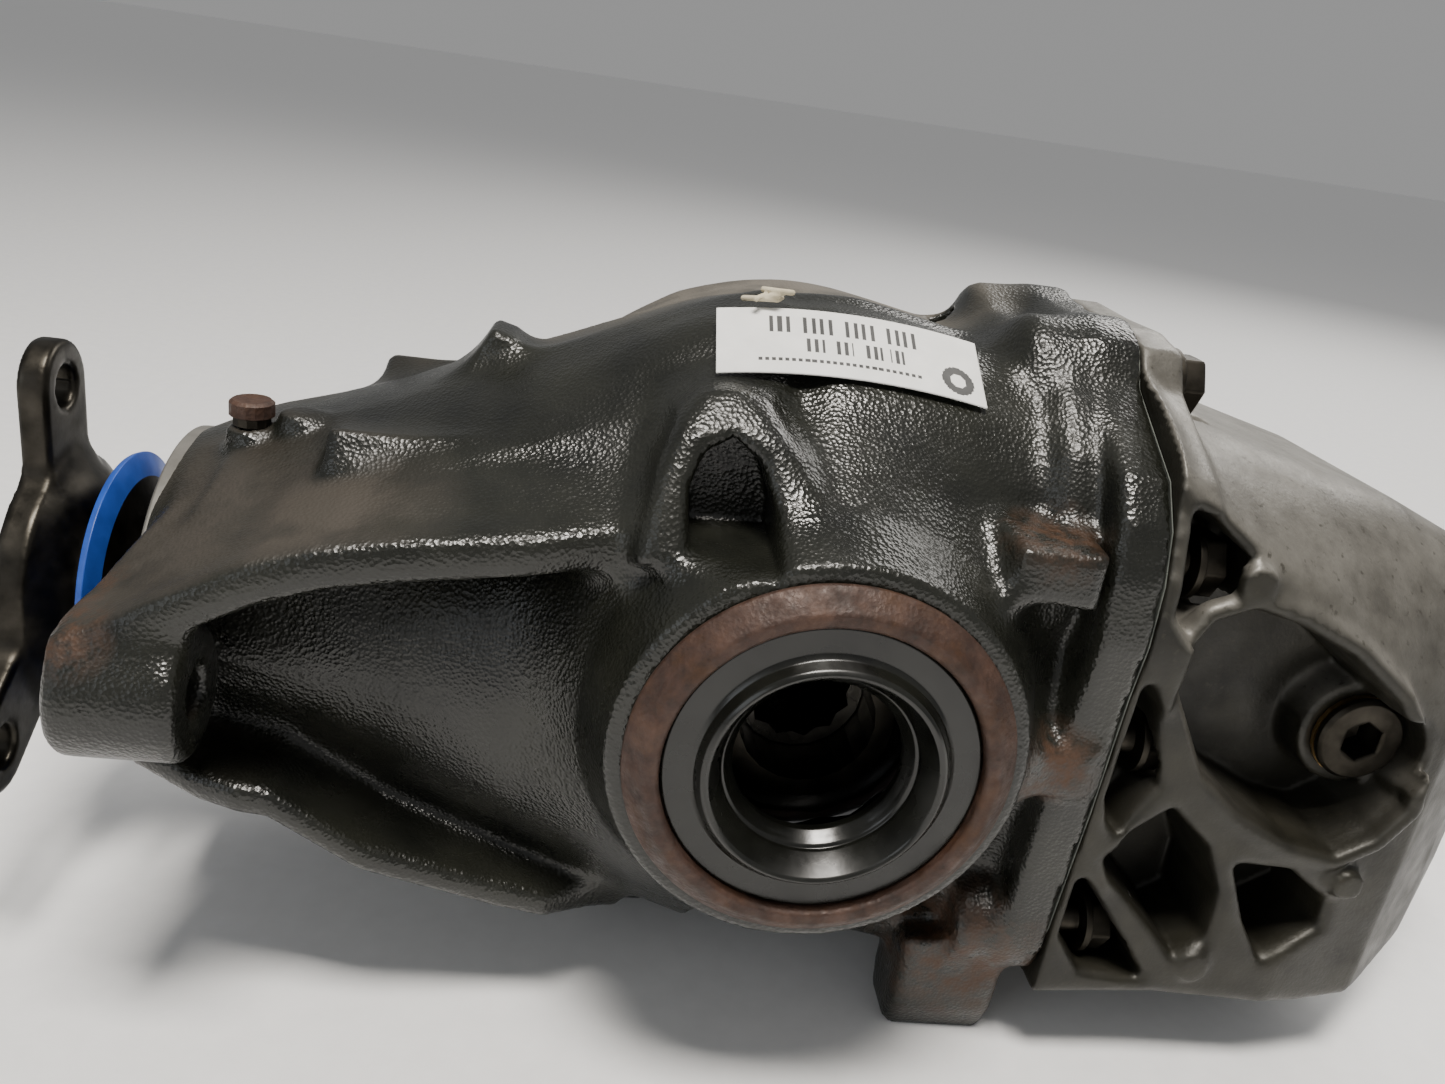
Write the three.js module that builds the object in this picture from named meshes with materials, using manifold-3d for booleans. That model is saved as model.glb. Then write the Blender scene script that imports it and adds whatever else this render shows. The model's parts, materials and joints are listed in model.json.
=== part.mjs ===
// Rear axle differential gear assembly: a cast-iron housing with a ribbed aluminium rear cover,
// a hypoid pinion and ring gear, a bevel-gear differential, its bearings, seals and input flange.
//
// Millimetres, +Z up. +X points at the rear cover, -X at the input flange, and the output axle lies
// along Y. Everything is drawn about the middle of the axle, and the exported group lifts it so that
// the housing's feet stand on z = 0 and the origin is under the middle of the whole assembly.
import * as THREE from 'three';
import { mergeVertices } from 'three/addons/utils/BufferGeometryUtils.js';
import Module from 'manifold-3d';

const wasm = await Module();
wasm.setup();

// Driving dimensions
const GAP = 0.3;                    // between pieces that touch
const AXLE_HEIGHT = 108;            // axle above the feet
const NOSE_END = -173;              // front face of the pinion bearing housing
const NUT_END = -218;               // front end of the pinion's thread and its nut
const FLANGE_FRONT = -213;          // front face of the input flange's arms
const TAIL_END = 236;               // rear face of the cover's mounting lug
const PARTING = 79;                 // rear face of the housing, where the gasket lies
const GASKET = 0.8;
const PINION_DROP = 16;             // hypoid offset: the pinion axis is this far under the axle
const DRUM_RADIUS = 92.5;           // highest line of the drum, near its middle
const DRUM_RING_SIDE = 87;          // outside of the drum over the ring gear

const RING_TEETH = 41;
const PINION_TEETH = 13;
const RING_INNER = 55;
const RING_OUTER = 80;              // 160 mm ring gear
const RING_ROOM = 2.6;              // clear round the ring gear
const SIDE_TEETH = 16;
const SPIDER_TEETH = 10;
const SIDE_OUTER = 30;
const SIDE_INNER = 21;
const RING_GAP_REACH = 11;          // how far a tooth gap runs out past the ring gear's teeth
const SIDE_GAP_REACH = 7;           // and past a side gear's

const BEARING_BORE = 41.3;          // seats of the side bearings and their retainers
const RETAINER_CREST = 104.5;       // |y| of the retainers' outer face
const HUB_FACE = 98;                // |y| of the cast hub's face
const SHAFT_SEAL_BORE = 20.3;       // lip of the output shaft seal, for a 40 mm shaft
const CARRIER_HUB = 22;             // radius of the carrier's bearing journals
const CARRIER_BORE = 17.2;
const BOLTS = [[27, 85], [63, 47], [63, -5], [63, -66]];   // y, z of the cover bolts on one side
const BOLT_RADIUS = 5;
const BOLT_HEAD = 8.2;               // corner radius of the hexagon
const BOLT_WASHER = 9.6;
const BOLT_HEAD_SEAT = 92;          // x of the rear face of the cover's flange
const BOLT_HEAD_ROOM = 10.6;        // radius cleared round each bolt head
const BOLT_HEAD_BACK = 106;         // x that the cleared room reaches
const DOWELS = [[58, 66], [-58, -78]];
const DOWEL_RADIUS = 4;
const EAR_Y = 78;                   // bolt boss of each front wing
const EAR_Z = -6;
const EAR_BOSS = 17;
const EAR_HOLE = 6.5;
const LUG_Z = -34;                  // mounting lug at the cover's tail
const LUG_RADIUS = 22;
const LUG_HOLE = 7;
const VENT_X = -151;
const VENT_Y = -16;
const KNOB_STEP = 13;               // from the vent back to the blank cast knob
const PLUG_X = 159;
const PLUG_Z = 0;
const PLUG_RADIUS = 9;
const PLUG_RIM = 13.6;
const VENT_BORE = 3.3;
const PLUG_FACE = -60;              // y of the boss face that the fill plug screws down on
const INNER_WALL = 48;              // |y| of the cover's inner wall behind its pockets

const SEAL_SEAT = 37.8;             // bore of the retainers, for the shaft seals
const RING_BACK = 48;               // |y| of the ring gear's back face
const CROSS_PIN = 7.7;
const LOCK_PIN_X = 45;
const LOCK_PIN = 2.8;
const HEAD_SEAT = 17.5;             // pinion shaft under its head bearing
const HEAD_BORE = 36.3;
const TAIL_SEAT = 14.8;
const TAIL_BORE = 31.3;
const SEAL_BORE = 36.3;
const SPLINE_RADIUS = 14;
const FLANGE_BACK = -205;           // rear face of the input flange's arms
const FLANGE_CIRCLE = 57;           // of its bolt holes
const FLANGE_HOLE = 6;
const FLANGE_HUB = 20.8;            // radius that runs in the pinion seal
const ARM_HALF = 13;
const ARCH_FLOOR = 64;              // |y| of the pocket inside the arched rib on the drum's shoulder
const COLLAR_RADIUS = 47.5;         // machined collar on the end of the nose
const COLLAR_BACK = -166;
const TAG_EDGE = -30;               // y of the paper tag's upper edge
const TAG_SLOPE = 0.56;             // its fall toward the left side

// ---------------------------------------------------------------- shapes

// Closed geometry as a solid, turned the right way out.
function solid(geometry) {
  const plain = geometry.index ? geometry.toNonIndexed() : geometry.clone();
  plain.deleteAttribute('normal');
  plain.deleteAttribute('uv');
  const merged = mergeVertices(plain, 1e-4);
  const corners = [...merged.index.array];
  const kept = [];
  for (let i = 0; i < corners.length; i += 3) {
    const [a, b, c] = corners.slice(i, i + 3);
    if (a !== b && b !== c && c !== a) kept.push(a, b, c);
  }
  const vertProperties = merged.attributes.position.array;
  const body = (order) => new wasm.Manifold(
    new wasm.Mesh({ numProp: 3, vertProperties, triVerts: new Uint32Array(order) }));
  const made = body(kept);
  return made.volume() > 0 ? made : body(kept.map((v, i) => kept[i + [0, 1, -1][i % 3]]));
}

// A solid as a flat-shaded three.js geometry.
function geometryOf(made) {
  const mesh = made.getMesh();
  const geometry = new THREE.BufferGeometry();
  const positions = new Float32Array(mesh.numVert * 3);
  for (let v = 0; v < mesh.numVert; v++)
    for (let k = 0; k < 3; k++) positions[3 * v + k] = mesh.vertProperties[v * mesh.numProp + k];
  geometry.setAttribute('position', new THREE.BufferAttribute(positions, 3));
  geometry.setIndex([...mesh.triVerts]);
  const flat = geometry.toNonIndexed();
  flat.computeVertexNormals();
  return flat;
}

const join = (...parts) => parts.flat().reduce((a, b) => a.add(b));
const cut = (body, ...tools) => tools.flat().reduce((a, b) => a.subtract(b), body);
const common = (...parts) => parts.flat().reduce((a, b) => a.intersect(b));
const shifted = (made, x, y, z) => solid(geometryOf(made).translate(x, y, z));

const outline = (points) => new THREE.Shape(points.map(([a, b]) => new THREE.Vector2(a, b)));

// A flat outline carried along an axis: it is drawn in (y, z) along x, in (x, z) along y and in (x, y)
// along z.
function prism(axis, points, from, to) {
  const geometry = new THREE.ExtrudeGeometry(outline(points), { depth: to - from, bevelEnabled: false });
  const frame = new THREE.Matrix4();
  const [x, y, z] = [new THREE.Vector3(1, 0, 0), new THREE.Vector3(0, 1, 0), new THREE.Vector3(0, 0, 1)];
  if (axis === 'x') frame.makeBasis(y, z, x).setPosition(from, 0, 0);
  if (axis === 'y') frame.makeBasis(x, z, y.clone().negate()).setPosition(0, to, 0);
  if (axis === 'z') frame.setPosition(0, 0, from);
  return solid(geometry.applyMatrix4(frame));
}

// A closed profile of [along, radius] points turned about an axis that passes through `at`.
function turned(axis, profile, segments = 20, at = [0, 0, 0]) {
  const points = [...profile, profile[0]].map(([along, radius]) => new THREE.Vector2(radius, along));
  const geometry = new THREE.LatheGeometry(points, segments);
  if (axis === 'x') geometry.rotateZ(-Math.PI / 2);
  if (axis === 'z') geometry.rotateX(Math.PI / 2);
  return solid(geometry.translate(...at));
}

const rod = (axis, radius, from, to, segments = 10, at = [0, 0, 0]) =>
  turned(axis, [[from, 0], [from, radius], [to, radius], [to, 0]], segments, at);

const tube = (axis, inner, outer, from, to, segments = 20, at = [0, 0, 0]) =>
  turned(axis, [[from, inner], [from, outer], [to, outer], [to, inner]], segments, at);

// A block over a rectangle in plan whose top and bottom heights are functions of (x, y).
function slab([x0, x1], [y0, y1], bottom, top, nx = 8, ny = 4) {
  const geometry = new THREE.BoxGeometry(1, 1, 1, nx, ny, 1);
  const place = geometry.attributes.position;
  for (let i = 0; i < place.count; i++) {
    const x = x0 + (x1 - x0) * (place.getX(i) + 0.5);
    const y = y0 + (y1 - y0) * (place.getY(i) + 0.5);
    place.setXYZ(i, x, y, place.getZ(i) > 0 ? top(x, y) : bottom(x, y));
  }
  return solid(geometry);
}

// Height read off a line of [position, height] points.
function along(points) {
  return (p) => {
    const next = points.findIndex(([at]) => at >= p);
    if (next === 0) return points[0][1];
    if (next < 0) return points[points.length - 1][1];
    const [[a, ha], [b, hb]] = [points[next - 1], points[next]];
    return ha + ((hb - ha) * (p - a)) / (b - a);
  };
}

// The same solid on the other side of the middle plane, y to -y.
const mirrored = (made) => solid(geometryOf(made).scale(1, -1, 1));
const both = (made) => [made, mirrored(made)];

// A solid turned about an axis through the origin, by radians.
function spun(made, axis, angle) {
  const direction = { x: [1, 0, 0], y: [0, 1, 0], z: [0, 0, 1] }[axis];
  const turn = new THREE.Matrix4().makeRotationAxis(new THREE.Vector3(...direction), angle);
  return solid(geometryOf(made).applyMatrix4(turn));
}

const around = (count, make) => Array.from({ length: count }, (_, i) => make((2 * Math.PI * i) / count, i));

// ---------------------------------------------------------------- gears

// One straight tooth of a bevel gear about Y, along +X and pointing to -Y. Its section is a trapezoid
// whose root lies `behind` the pitch cone, and `grow` makes it larger all round.
function bevelTooth({ inner, outer, slope, root, tip, behind, height }, grow = 0) {
  const tilt = Math.atan(slope);
  const [r, t] = [root / 2 + grow, tip / 2 + grow];
  const section = [[-r, -1.5 - behind], [r, -1.5 - behind], [t, height - behind + grow],
      [-t, height - behind + grow]];
  const bar = geometryOf(prism('x', section, inner / Math.cos(tilt) - grow, outer / Math.cos(tilt) + grow));
  return bar.rotateX(Math.PI / 2).rotateZ(tilt);
}

const RING_TOOTH = { inner: RING_INNER, outer: RING_OUTER - 0.6, slope: PINION_TEETH / RING_TEETH,
  root: 5.2, tip: 2.3, behind: 3.7, height: 6.3 };
const SIDE_TOOTH = { inner: SIDE_INNER, outer: SIDE_OUTER, slope: SPIDER_TEETH / SIDE_TEETH,
  root: 4.6, tip: 1.9, behind: 3, height: 5.4 };

// The gap that clears such a tooth as it rolls through: the tooth itself, wider, deeper and longer, by
// `reach` at its outer end.
function toothGap(tooth, reach) {
  const { inner, outer, root, tip, height } = tooth;
  const wider = { root: root + 3.2, tip: tip + 1.5 };
  return bevelTooth({ ...tooth, ...wider, inner: inner - 3, outer: outer + reach, height: height + 0.7 });
}

function ringGear() {
  const face = (radius) => radius * RING_TOOTH.slope + RING_TOOTH.behind;
  const blank = turned('y', [[face(RING_INNER), RING_INNER], [face(RING_OUTER), RING_OUTER],
    [43, RING_OUTER], [RING_BACK, 74], [RING_BACK, RING_INNER]], 30);
  return join(blank, around(RING_TEETH, (a) => solid(bevelTooth(RING_TOOTH).rotateY(a))));
}

// The pinion head has a gap wherever a ring gear tooth passes. Turning the ring gear about +Y lifts its
// -X side, and so turns the pinion about +X.
function pinionShaft() {
  const blank = turned('x', [[-54, 0], [-54, 19.6], [-88, 30.4], [-90, 28], [-90, HEAD_SEAT],
      [-134, HEAD_SEAT],
    [-134, TAIL_SEAT], [-152.2, TAIL_SEAT], [-152.2, SPLINE_RADIUS], [-203, SPLINE_RADIUS],
    [-203, 10], [NUT_END, 10], [NUT_END, 0]], 20);
  const mesh = -1.45;               // where the offset pinion is deepest in mesh, in ring tooth pitches
  const gap = solid(toothGap(RING_TOOTH, RING_GAP_REACH).rotateY(Math.PI + (2 * Math.PI * mesh) / RING_TEETH)
    .translate(0, 0, PINION_DROP).rotateX((-2 * Math.PI * mesh) / PINION_TEETH));
  const gaps = around(PINION_TEETH, (a) => spun(gap, 'x', a + Math.PI / PINION_TEETH));
  return shifted(cut(blank, gaps), 0, 0, -PINION_DROP);
}

// The right side gear, with its splined hub.
function sideGear() {
  const blank = turned('y', [[15.6, 10], [15.6, 19.6], [21.2, 28.4], [24, 29], [26.5, 27],
      [26.5, CARRIER_BORE - GAP],
    [62, CARRIER_BORE - GAP], [62, 10]]);
  const teeth = around(SIDE_TEETH, (a) => solid(bevelTooth(SIDE_TOOTH).rotateY(a)));
  const spline = around(24, (a, i) => [Math.cos(a), Math.sin(a)].map((c) => c * (i % 2 ? 14.4 : 12.8)));
  return cut(join(blank, teeth), prism('y', spline, 0, 70));
}

// The spider gear on the +X arm of the cross pin.
function spiderGear() {
  const blank = turned('x', [[19.8, CROSS_PIN + GAP], [19.8, 15.3], [28.6, 20.8], [32.5, 17.5], [37.5, 14],
    [37.5, CROSS_PIN + GAP]], 16);
  const gap = solid(toothGap(SIDE_TOOTH, SIDE_GAP_REACH));
  return cut(blank, around(SPIDER_TEETH, (a) => spun(gap, 'x', a)));
}

// ---------------------------------------------------------------- differential

function carrier() {
  const outside = turned('y', [[-78.5, CARRIER_BORE], [-78.5, CARRIER_HUB], [-57, CARRIER_HUB],
      [-57, 27], [-54, 34],
    [-44, 46], [-30, 52], [30, 52], [RING_BACK + GAP, 53.5], [RING_BACK + GAP, 72], [55, 72], [55, 34],
        [57, 27],
    [57, CARRIER_HUB], [78.5, CARRIER_HUB], [78.5, CARRIER_BORE]]);
  const hollow = join(rod('y', 39.6, -28.6, 28.6, 18), rod('x', 15.5, -39.6, 39.6, 14));
  const windows = prism('z', [[-24, -22], [24, -22], [24, 22], [-24, 22]], -60, 60);
  const pinHole = rod('x', CROSS_PIN + GAP, -60, 60, 12);
  const lockHole = rod('y', LOCK_PIN + GAP, -20, 60, 8, [LOCK_PIN_X, 0, 0]);
  return cut(outside, hollow, windows, pinHole, lockHole);
}

function crossPin() {
  return cut(rod('x', CROSS_PIN, -51, 51, 12), rod('y', LOCK_PIN + GAP, -20, 20, 8, [LOCK_PIN_X, 0, 0]));
}

// ---------------------------------------------------------------- bearings and seals

// A taper roller bearing about Y, as three solids: the inner ring, the rollers in their cage, and the cup.
function taperBearing(small, large, bore, outer, rollers) {
  const side = Math.sign(large - small);
  const depth = outer - bore;
  const roller = 0.13 * depth;
  const race = (at) => bore + depth * (0.24 + (0.18 * (at - small)) / (large - small));
  const [start, end] = [small + 1.5 * side, large - 2.8 * side];
  const middle = (at) => race(at) + GAP + roller;
  const cone = turned('y', [[small, bore], [small, race(small)],
      [large - 2.4 * side, race(large - 2.4 * side)],
    [large - 2.4 * side, bore + 0.6 * depth], [large, bore + 0.6 * depth], [large, bore]]);
  const cup = turned('y', [[small, outer], [small, race(small) + 2 * (roller + GAP) + 0.4],
    [large, race(large) + 2 * (roller + GAP) + 0.4], [large, outer]]);
  return { cone, cup, rollers: rollerRing([start, middle(start)], [end, middle(end)], roller, rollers) };
}

// Rollers in their cage as one ring that bulges at each roller, between two [along, radius] points.
function rollerRing(from, to, roller, count) {
  const corners = [[from, -1], [from, 1], [to, 1], [to, -1], [from, -1]];
  const profile = corners.map(([[at, middle], sign]) => new THREE.Vector2(middle + sign * roller, at));
  const ring = new THREE.LatheGeometry(profile, 4 * count);
  const place = ring.attributes.position;
  for (let i = 0; i < place.count; i++) {
    const [x, y, z] = [place.getX(i), place.getY(i), place.getZ(i)];
    const middle = from[1] + ((to[1] - from[1]) * (y - from[0])) / (to[0] - from[0]);
    const bulge = Math.cos((count * Math.atan2(z, x)) / 2) ** 2;
    const radius = middle + (Math.hypot(x, z) - middle) * (0.3 + 0.7 * bulge);
    place.setXYZ(i, (x * radius) / Math.hypot(x, z), y, (z * radius) / Math.hypot(x, z));
  }
  return solid(ring);
}

// The same bearing about the pinion's axis.
function onPinion(bearing) {
  const place = (made) => solid(geometryOf(made).rotateZ(-Math.PI / 2).translate(0, 0, -PINION_DROP));
  return Object.fromEntries(Object.entries(bearing).map(([name, made]) => [name, place(made)]));
}

// The rusty ring round the output: a sleeve that holds the side bearing, with a coned crest outside.
const bearingRetainer = () => turned('y', [[80.6, 33], [80.6, BEARING_BORE - GAP],
    [HUB_FACE + GAP, BEARING_BORE - GAP],
  [HUB_FACE + GAP, 46.5], [100, 46.3], [RETAINER_CREST - 0.4, 41.8], [RETAINER_CREST, 41],
      [RETAINER_CREST, SEAL_SEAT],
  [84, SEAL_SEAT], [84, 33]]);

// The output shaft seal: a flat rubbered face, a raised dust lip and a funnel down to the sealing lip.
const shaftSeal = () => turned('y', [[84.6, 30], [84.6, SEAL_SEAT - GAP], [102, SEAL_SEAT - GAP],
    [102, 29.6],
  [105.6, 28.4], [106.2, 27.4], [105, 26.2], [98, 21.8], [95, SHAFT_SEAL_BORE], [93, SHAFT_SEAL_BORE],
      [90.5, 23.5],
  [90.5, 30]]);

const pinionSeal = () => turned('x', [[-160, 31], [-160, SEAL_BORE - GAP], [-171, SEAL_BORE - GAP],
    [-171, 25],
  [-168.5, 22], [-166, 21.7], [-164, 24], [-164, 31]], 20, [0, 0, -PINION_DROP]);

// ---------------------------------------------------------------- input side

// Three arms with a bolt hole each on a splined hub.
function inputFlange() {
  const axis = [0, 0, -PINION_DROP];
  const hub = turned('x', [[-152.6, SPLINE_RADIUS + GAP], [-152.6, 18], [-154, FLANGE_HUB],
      [-187, FLANGE_HUB], [-196, 25],
    [FLANGE_BACK, 30], [FLANGE_BACK, SPLINE_RADIUS + GAP]], 24, axis);
  const plate = cut(prism('x', flangeOutline(), FLANGE_FRONT, FLANGE_BACK + 0.01), rod('x', 18, -220,
      -210.5, 20, axis),
    rod('x', SPLINE_RADIUS + GAP, -220, -190, 24, axis));
  const holes = around(3, (a) => rod('x', FLANGE_HOLE, -220, -190, 12, [0, ...armPoint(a, FLANGE_CIRCLE)]));
  return cut(join(hub, plate), holes);
}

// A point in (y, z) on the arm at angle a, the first arm pointing up.
const armPoint = (a, radius) => [radius * Math.sin(a), radius * Math.cos(a) - PINION_DROP];

// The flange seen along X: a round tip on each arm, hollowed between the arms.
function flangeOutline() {
  const points = around(3, (a) => {
    const tip = [-90, -45, 0, 45, 90].map((t) => (t * Math.PI) / 180).map((t) => {
      const [across, out] = [ARM_HALF * Math.sin(t), FLANGE_CIRCLE + ARM_HALF * Math.cos(t)];
      return [Math.hypot(across, out), a + Math.atan2(across, out)];
    });
    const waist = [[40, a + Math.PI / 3 - 0.42], [33, a + Math.PI / 3], [40, a + Math.PI / 3 + 0.42]];
    return [...tip, ...waist].map(([radius, angle]) => armPoint(angle, radius));
  });
  return points.flat().reverse();
}

const dustShield = () => turned('x', [[-183.5, 21.1], [-186.5, 21.1], [-189, 30], [-191, 37.4],
    [-189, 38.2],
  [-187, 31]], 24, [0, 0, -PINION_DROP]);

function collarNut() {
  const corners = around(6, (a) => [15.5 * Math.cos(a), 15.5 * Math.sin(a) - PINION_DROP]);
  const body = join(prism('x', corners, NUT_END + 0.5, -212), rod('x', 16.5, -212.01, -210.8, 16, [0, 0,
      -PINION_DROP]));
  return cut(body, rod('x', 10.3, -220, -205, 16, [0, 0, -PINION_DROP]));
}

const crushSleeve = () => turned('x', [[-132.4, HEAD_SEAT + GAP], [-132.4, 20], [-126, 21], [-122, 23.5],
  [-114.4, 20], [-114.4, HEAD_SEAT + GAP], [-122, 21.5], [-126, 19]], 16, [0, 0, -PINION_DROP]);

// ---------------------------------------------------------------- housing

// Heights of the casting over the middle plane, from the nose back to the drum.
const noseTop = along([[-175, 27], [-150, 37], [-134, 42], [-115, 49], [-100, 56], [-61, 71], [-39, 79],
    [-17, 86]]);
// Heights of a wing's outer rim, its front lower edge and the shelf under it.
const wingRim = along([[-175, 7], [-152, 20], [-133, 30], [-118, 35], [-101, 38], [-72, 41], [-40, 43]]);
const shelfTop = along([[-172, -26], [-150, -34], [-132, -36], [-108, -51], [-74, -64], [-40, -75]]);

// Half of the flange round the parting plane, in (y, z), from top middle to bottom middle.
const FLANGE_RIM = [[0, 97], [22, 97.6], [36, 95], [42, 86], [56, 78.4], [71, 70.3], [79, 60], [83, 47],
    [84, 31], [82, 16],
  [81, 0], [80, -20], [78, -40], [76, -62], [72, -76], [60, -84], [0, -86]];
const flangeRim = (inset = 0) => {
  const pull = ([y, z]) => [y * (1 - inset / 84), z * (1 - inset / 90)];
  const right = FLANGE_RIM.map(pull);
  return [...right, ...right.slice(1, -1).reverse().map(([y, z]) => [-y, z])];
};

// The open rear of the case, in (y, z).
const rearOpening = (grow) => [[-50, -66], [-42, -74], [42, -74], [50, -66], [50, 60], [40, 76],
    [-40, 76], [-50, 60]]
  .map(([y, z]) => [y + Math.sign(y) * grow, z + Math.sign(z) * grow]);

// The drum round the gears, round-shouldered on the left and fuller over the ring gear on the right.
const drum = () => turned('y', [[-HUB_FACE, 38], [-HUB_FACE, 49], [-95, 51], [-80, 57], [-68, 66],
  [-56, 73.5], [-48, 78.5], [-40, 84.5], [-32, 88.5], [-22, 91.5], [-10, DRUM_RADIUS], [4, DRUM_RADIUS],
  [14, 88.5], [22, DRUM_RING_SIDE], [49, DRUM_RING_SIDE], [55, 82], [60, 75], [68, 66], [80, 57],
  [95, 51], [HUB_FACE, 49], [HUB_FACE, 38]], 24);

// The casting round the pinion: a cone on the pinion's axis under a saddle that rises to the drum.
function nose() {
  const cone = turned('x', [[NOSE_END, 0], [NOSE_END, COLLAR_RADIUS], [COLLAR_BACK, COLLAR_RADIUS],
    [COLLAR_BACK, 46], [-150, 48], [-110, 56], [-70, 68], [-20, 84], [-20, 0]], 24, [0, 0, -PINION_DROP]);
  const trim = prism('y', [[-180, 60], [-20, 110], [-20, -95], [-74, -84], [-130, -66], [-180, -64]],
      -90, 90);
  const top = (x, y) => noseTop(x) - 0.006 * y * y;
  const saddle = slab([-152, -20], [-46, 46], () => -10, top, 5, 2);
  return join(common(cone, trim), saddle);
}

// The +Y wing: a top plate, a shelf under it, a front web, and the boss that bolts to the body.
function wing() {
  const top = (x, y) => {
    const t = Math.min(1, Math.max(0, (y - 14) / 66));
    return noseTop(x) * (1 - t) + wingRim(x) * t - 2 * t * (1 - t);
  };
  const plan = [[COLLAR_BACK, 0], [COLLAR_BACK, 40], [-175, 66], [-175, 86], [-160, 86], [-135, 84],
    [-100, 82], [-70, 80], [-40, 74], [-30, 0]];
  const plate = slab([-175, -30], [0, 86], (x, y) => top(x, y) - 8, top, 6, 3);
  const shelf = slab([-168, -40], [0, 84], (x) => shelfTop(x) - 8, (x) => shelfTop(x), 6, 1);
  const shelfPlan = [[-168, 0], [-168, 66], [-140, 74], [-110, 74], [-60, 66], [-40, 50], [-40, 0]];
  const web = prism('x', [[0, 26], [40, 18], [80, 7], [78, -22], [50, -26], [0, -50]], -168, -160);
  const boss = rod('x', EAR_BOSS, -175, -146, 14, [0, EAR_Y, EAR_Z]);
  return join(common(plate, prism('z', plan, -60, 90)), common(shelf, prism('z', shelfPlan, -100, 20)),
      web, boss);
}

// The flange round the parting plane, its bolt bosses, and the box of the case behind the drum.
function rearFlange() {
  const plate = prism('x', flangeRim(), 66, PARTING);
  const across = [[62, 60], [50, 75], [40, 83], [30, 88], [24, 95]];
  const section = [[62, -95], ...across, ...across.map(([y, z]) => [-y, z]).reverse(), [-62, -95]];
  const box = common(prism('x', section, 0, PARTING), prism('y', [[0, 84], [38, 84], [52, 95],
    [PARTING, 95], [PARTING, -84], [20, -90], [0, -90]], -62, 62));
  const starts = [48, 40, 56, 56];
  const bosses = BOLTS.map(([y, z], i) => rod('x', 12, starts[i], PARTING, 9, [0, y, z - 1]));
  return join(plate, box, bosses.flatMap(both));
}

// Feet, ribs and bosses cast on the outside, for the +Y side or the middle.
function castDetails() {
  const foot = prism('x', [[46, -80], [70, -72], [68, -100], [62, -AXLE_HEIGHT], [50, -AXLE_HEIGHT],
      [45, -98]], 42, 74);
  const sump = prism('y', [[-52, -AXLE_HEIGHT], [-30, -AXLE_HEIGHT], [-10, -80], [-60, -70]], -16, 16);
  const arch = common(prism('y', [[-44, 44], [-42, 61], [-39, 71], [-34, 77], [-28, 79.5], [-20, 75],
    [-13, 64], [-10, 52], [-11, 44]], 44, 84), prism('x', [[44, 40], [84, 40], [78, 54], [70, 68],
    [60, 77], [44, 77]], -50, 0));
  const lug = turned('z', [[55, 0], [55, 15], [72.5, 5], [72.5, 0]], 4, [-86, -12, 0]);
  const vent = rod('z', 6.6, 20, 41, 12, [VENT_X, VENT_Y, 0]);
  const knob = rod('z', 6.2, 20, 46.5, 12, [VENT_X + KNOB_STEP, VENT_Y, 0]);
  const pad = prism('x', [[62, 54], [86, 54], [87, 50], [84, 43], [62, 39]], 41, 66);
  return join(...both(foot), sump, ...both(arch), lug, vent, knob, ...both(pad));
}

// The pocket under the arched rib, on the +Y side.
const archPocket = () => prism('y', [[-36, 46], [-36.5, 57], [-33.5, 64], [-27.5, 67.5], [-21.5, 63],
  [-17.5, 54], [-17, 46]], ARCH_FLOOR, 110);

// The room that the ring gear turns in, shared by the housing and the cover.
const gearRoom = () => turned('y', [[-58, 0], [-58, 60], [-50, 68], [2, 72], [9, RING_OUTER + RING_ROOM],
  [50, RING_OUTER + RING_ROOM], [58, 69], [58, 0]], 20);

function housing() {
  const outside = join(drum(), nose(), ...both(wing()), rearFlange(), castDetails());
  const hollow = [
    gearRoom(),
    prism('x', [[-120, -120], [120, -120], [120, 120], [-120, 120]], PARTING, PARTING + 60),
    prism('x', rearOpening(0), 10, PARTING + 1),
    rod('y', BEARING_BORE, -120, 120, 20),
    turned('x', [[-60, 0], [-60, 42], [-86, 42], [-90, HEAD_BORE], [-113.6, HEAD_BORE], [-113.6, 27],
        [-133, 27],
      [-133, TAIL_BORE], [-158, TAIL_BORE], [-158, SEAL_BORE], [-180, SEAL_BORE], [-180, 0]],
          20, [0, 0, -PINION_DROP]),
    rod('z', VENT_BORE, 4, 50, 12, [VENT_X, VENT_Y, 0]),
  ];
  const threads = BOLTS.map(([y, z]) => rod('x', BOLT_RADIUS + GAP, 57, 90, 6, [0, y, z])).flatMap(both);
  const dowels = DOWELS.map(([y, z]) => rod('x', DOWEL_RADIUS + GAP, 70, 90, 10, [0, y, z]));
  const earHoles = both(rod('x', EAR_HOLE, -180, -140, 16, [0, EAR_Y, EAR_Z]));
  return cut(outside, hollow, threads, dowels, earHoles, both(archPocket()));
}

// ---------------------------------------------------------------- rear cover

// Top edge of the cover's ribbed sides, its crown over the middle, and its floor.
const sideTop = along([[80, 74], [90, 65], [107, 54], [131, 41], [154, 23], [170, 5], [185, -14],
    [210, -40], [236, -60]]);
const crown = along([[80, 90], [92, 80], [111, 75], [138, 68], [167, 61], [190, 52], [214, 40],
    [228, 22], [236, 2]]);
const floorAt = along([[80, -84], [115, -82], [163, -85], [185, -84], [207, -76], [236, -58]]);

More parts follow.
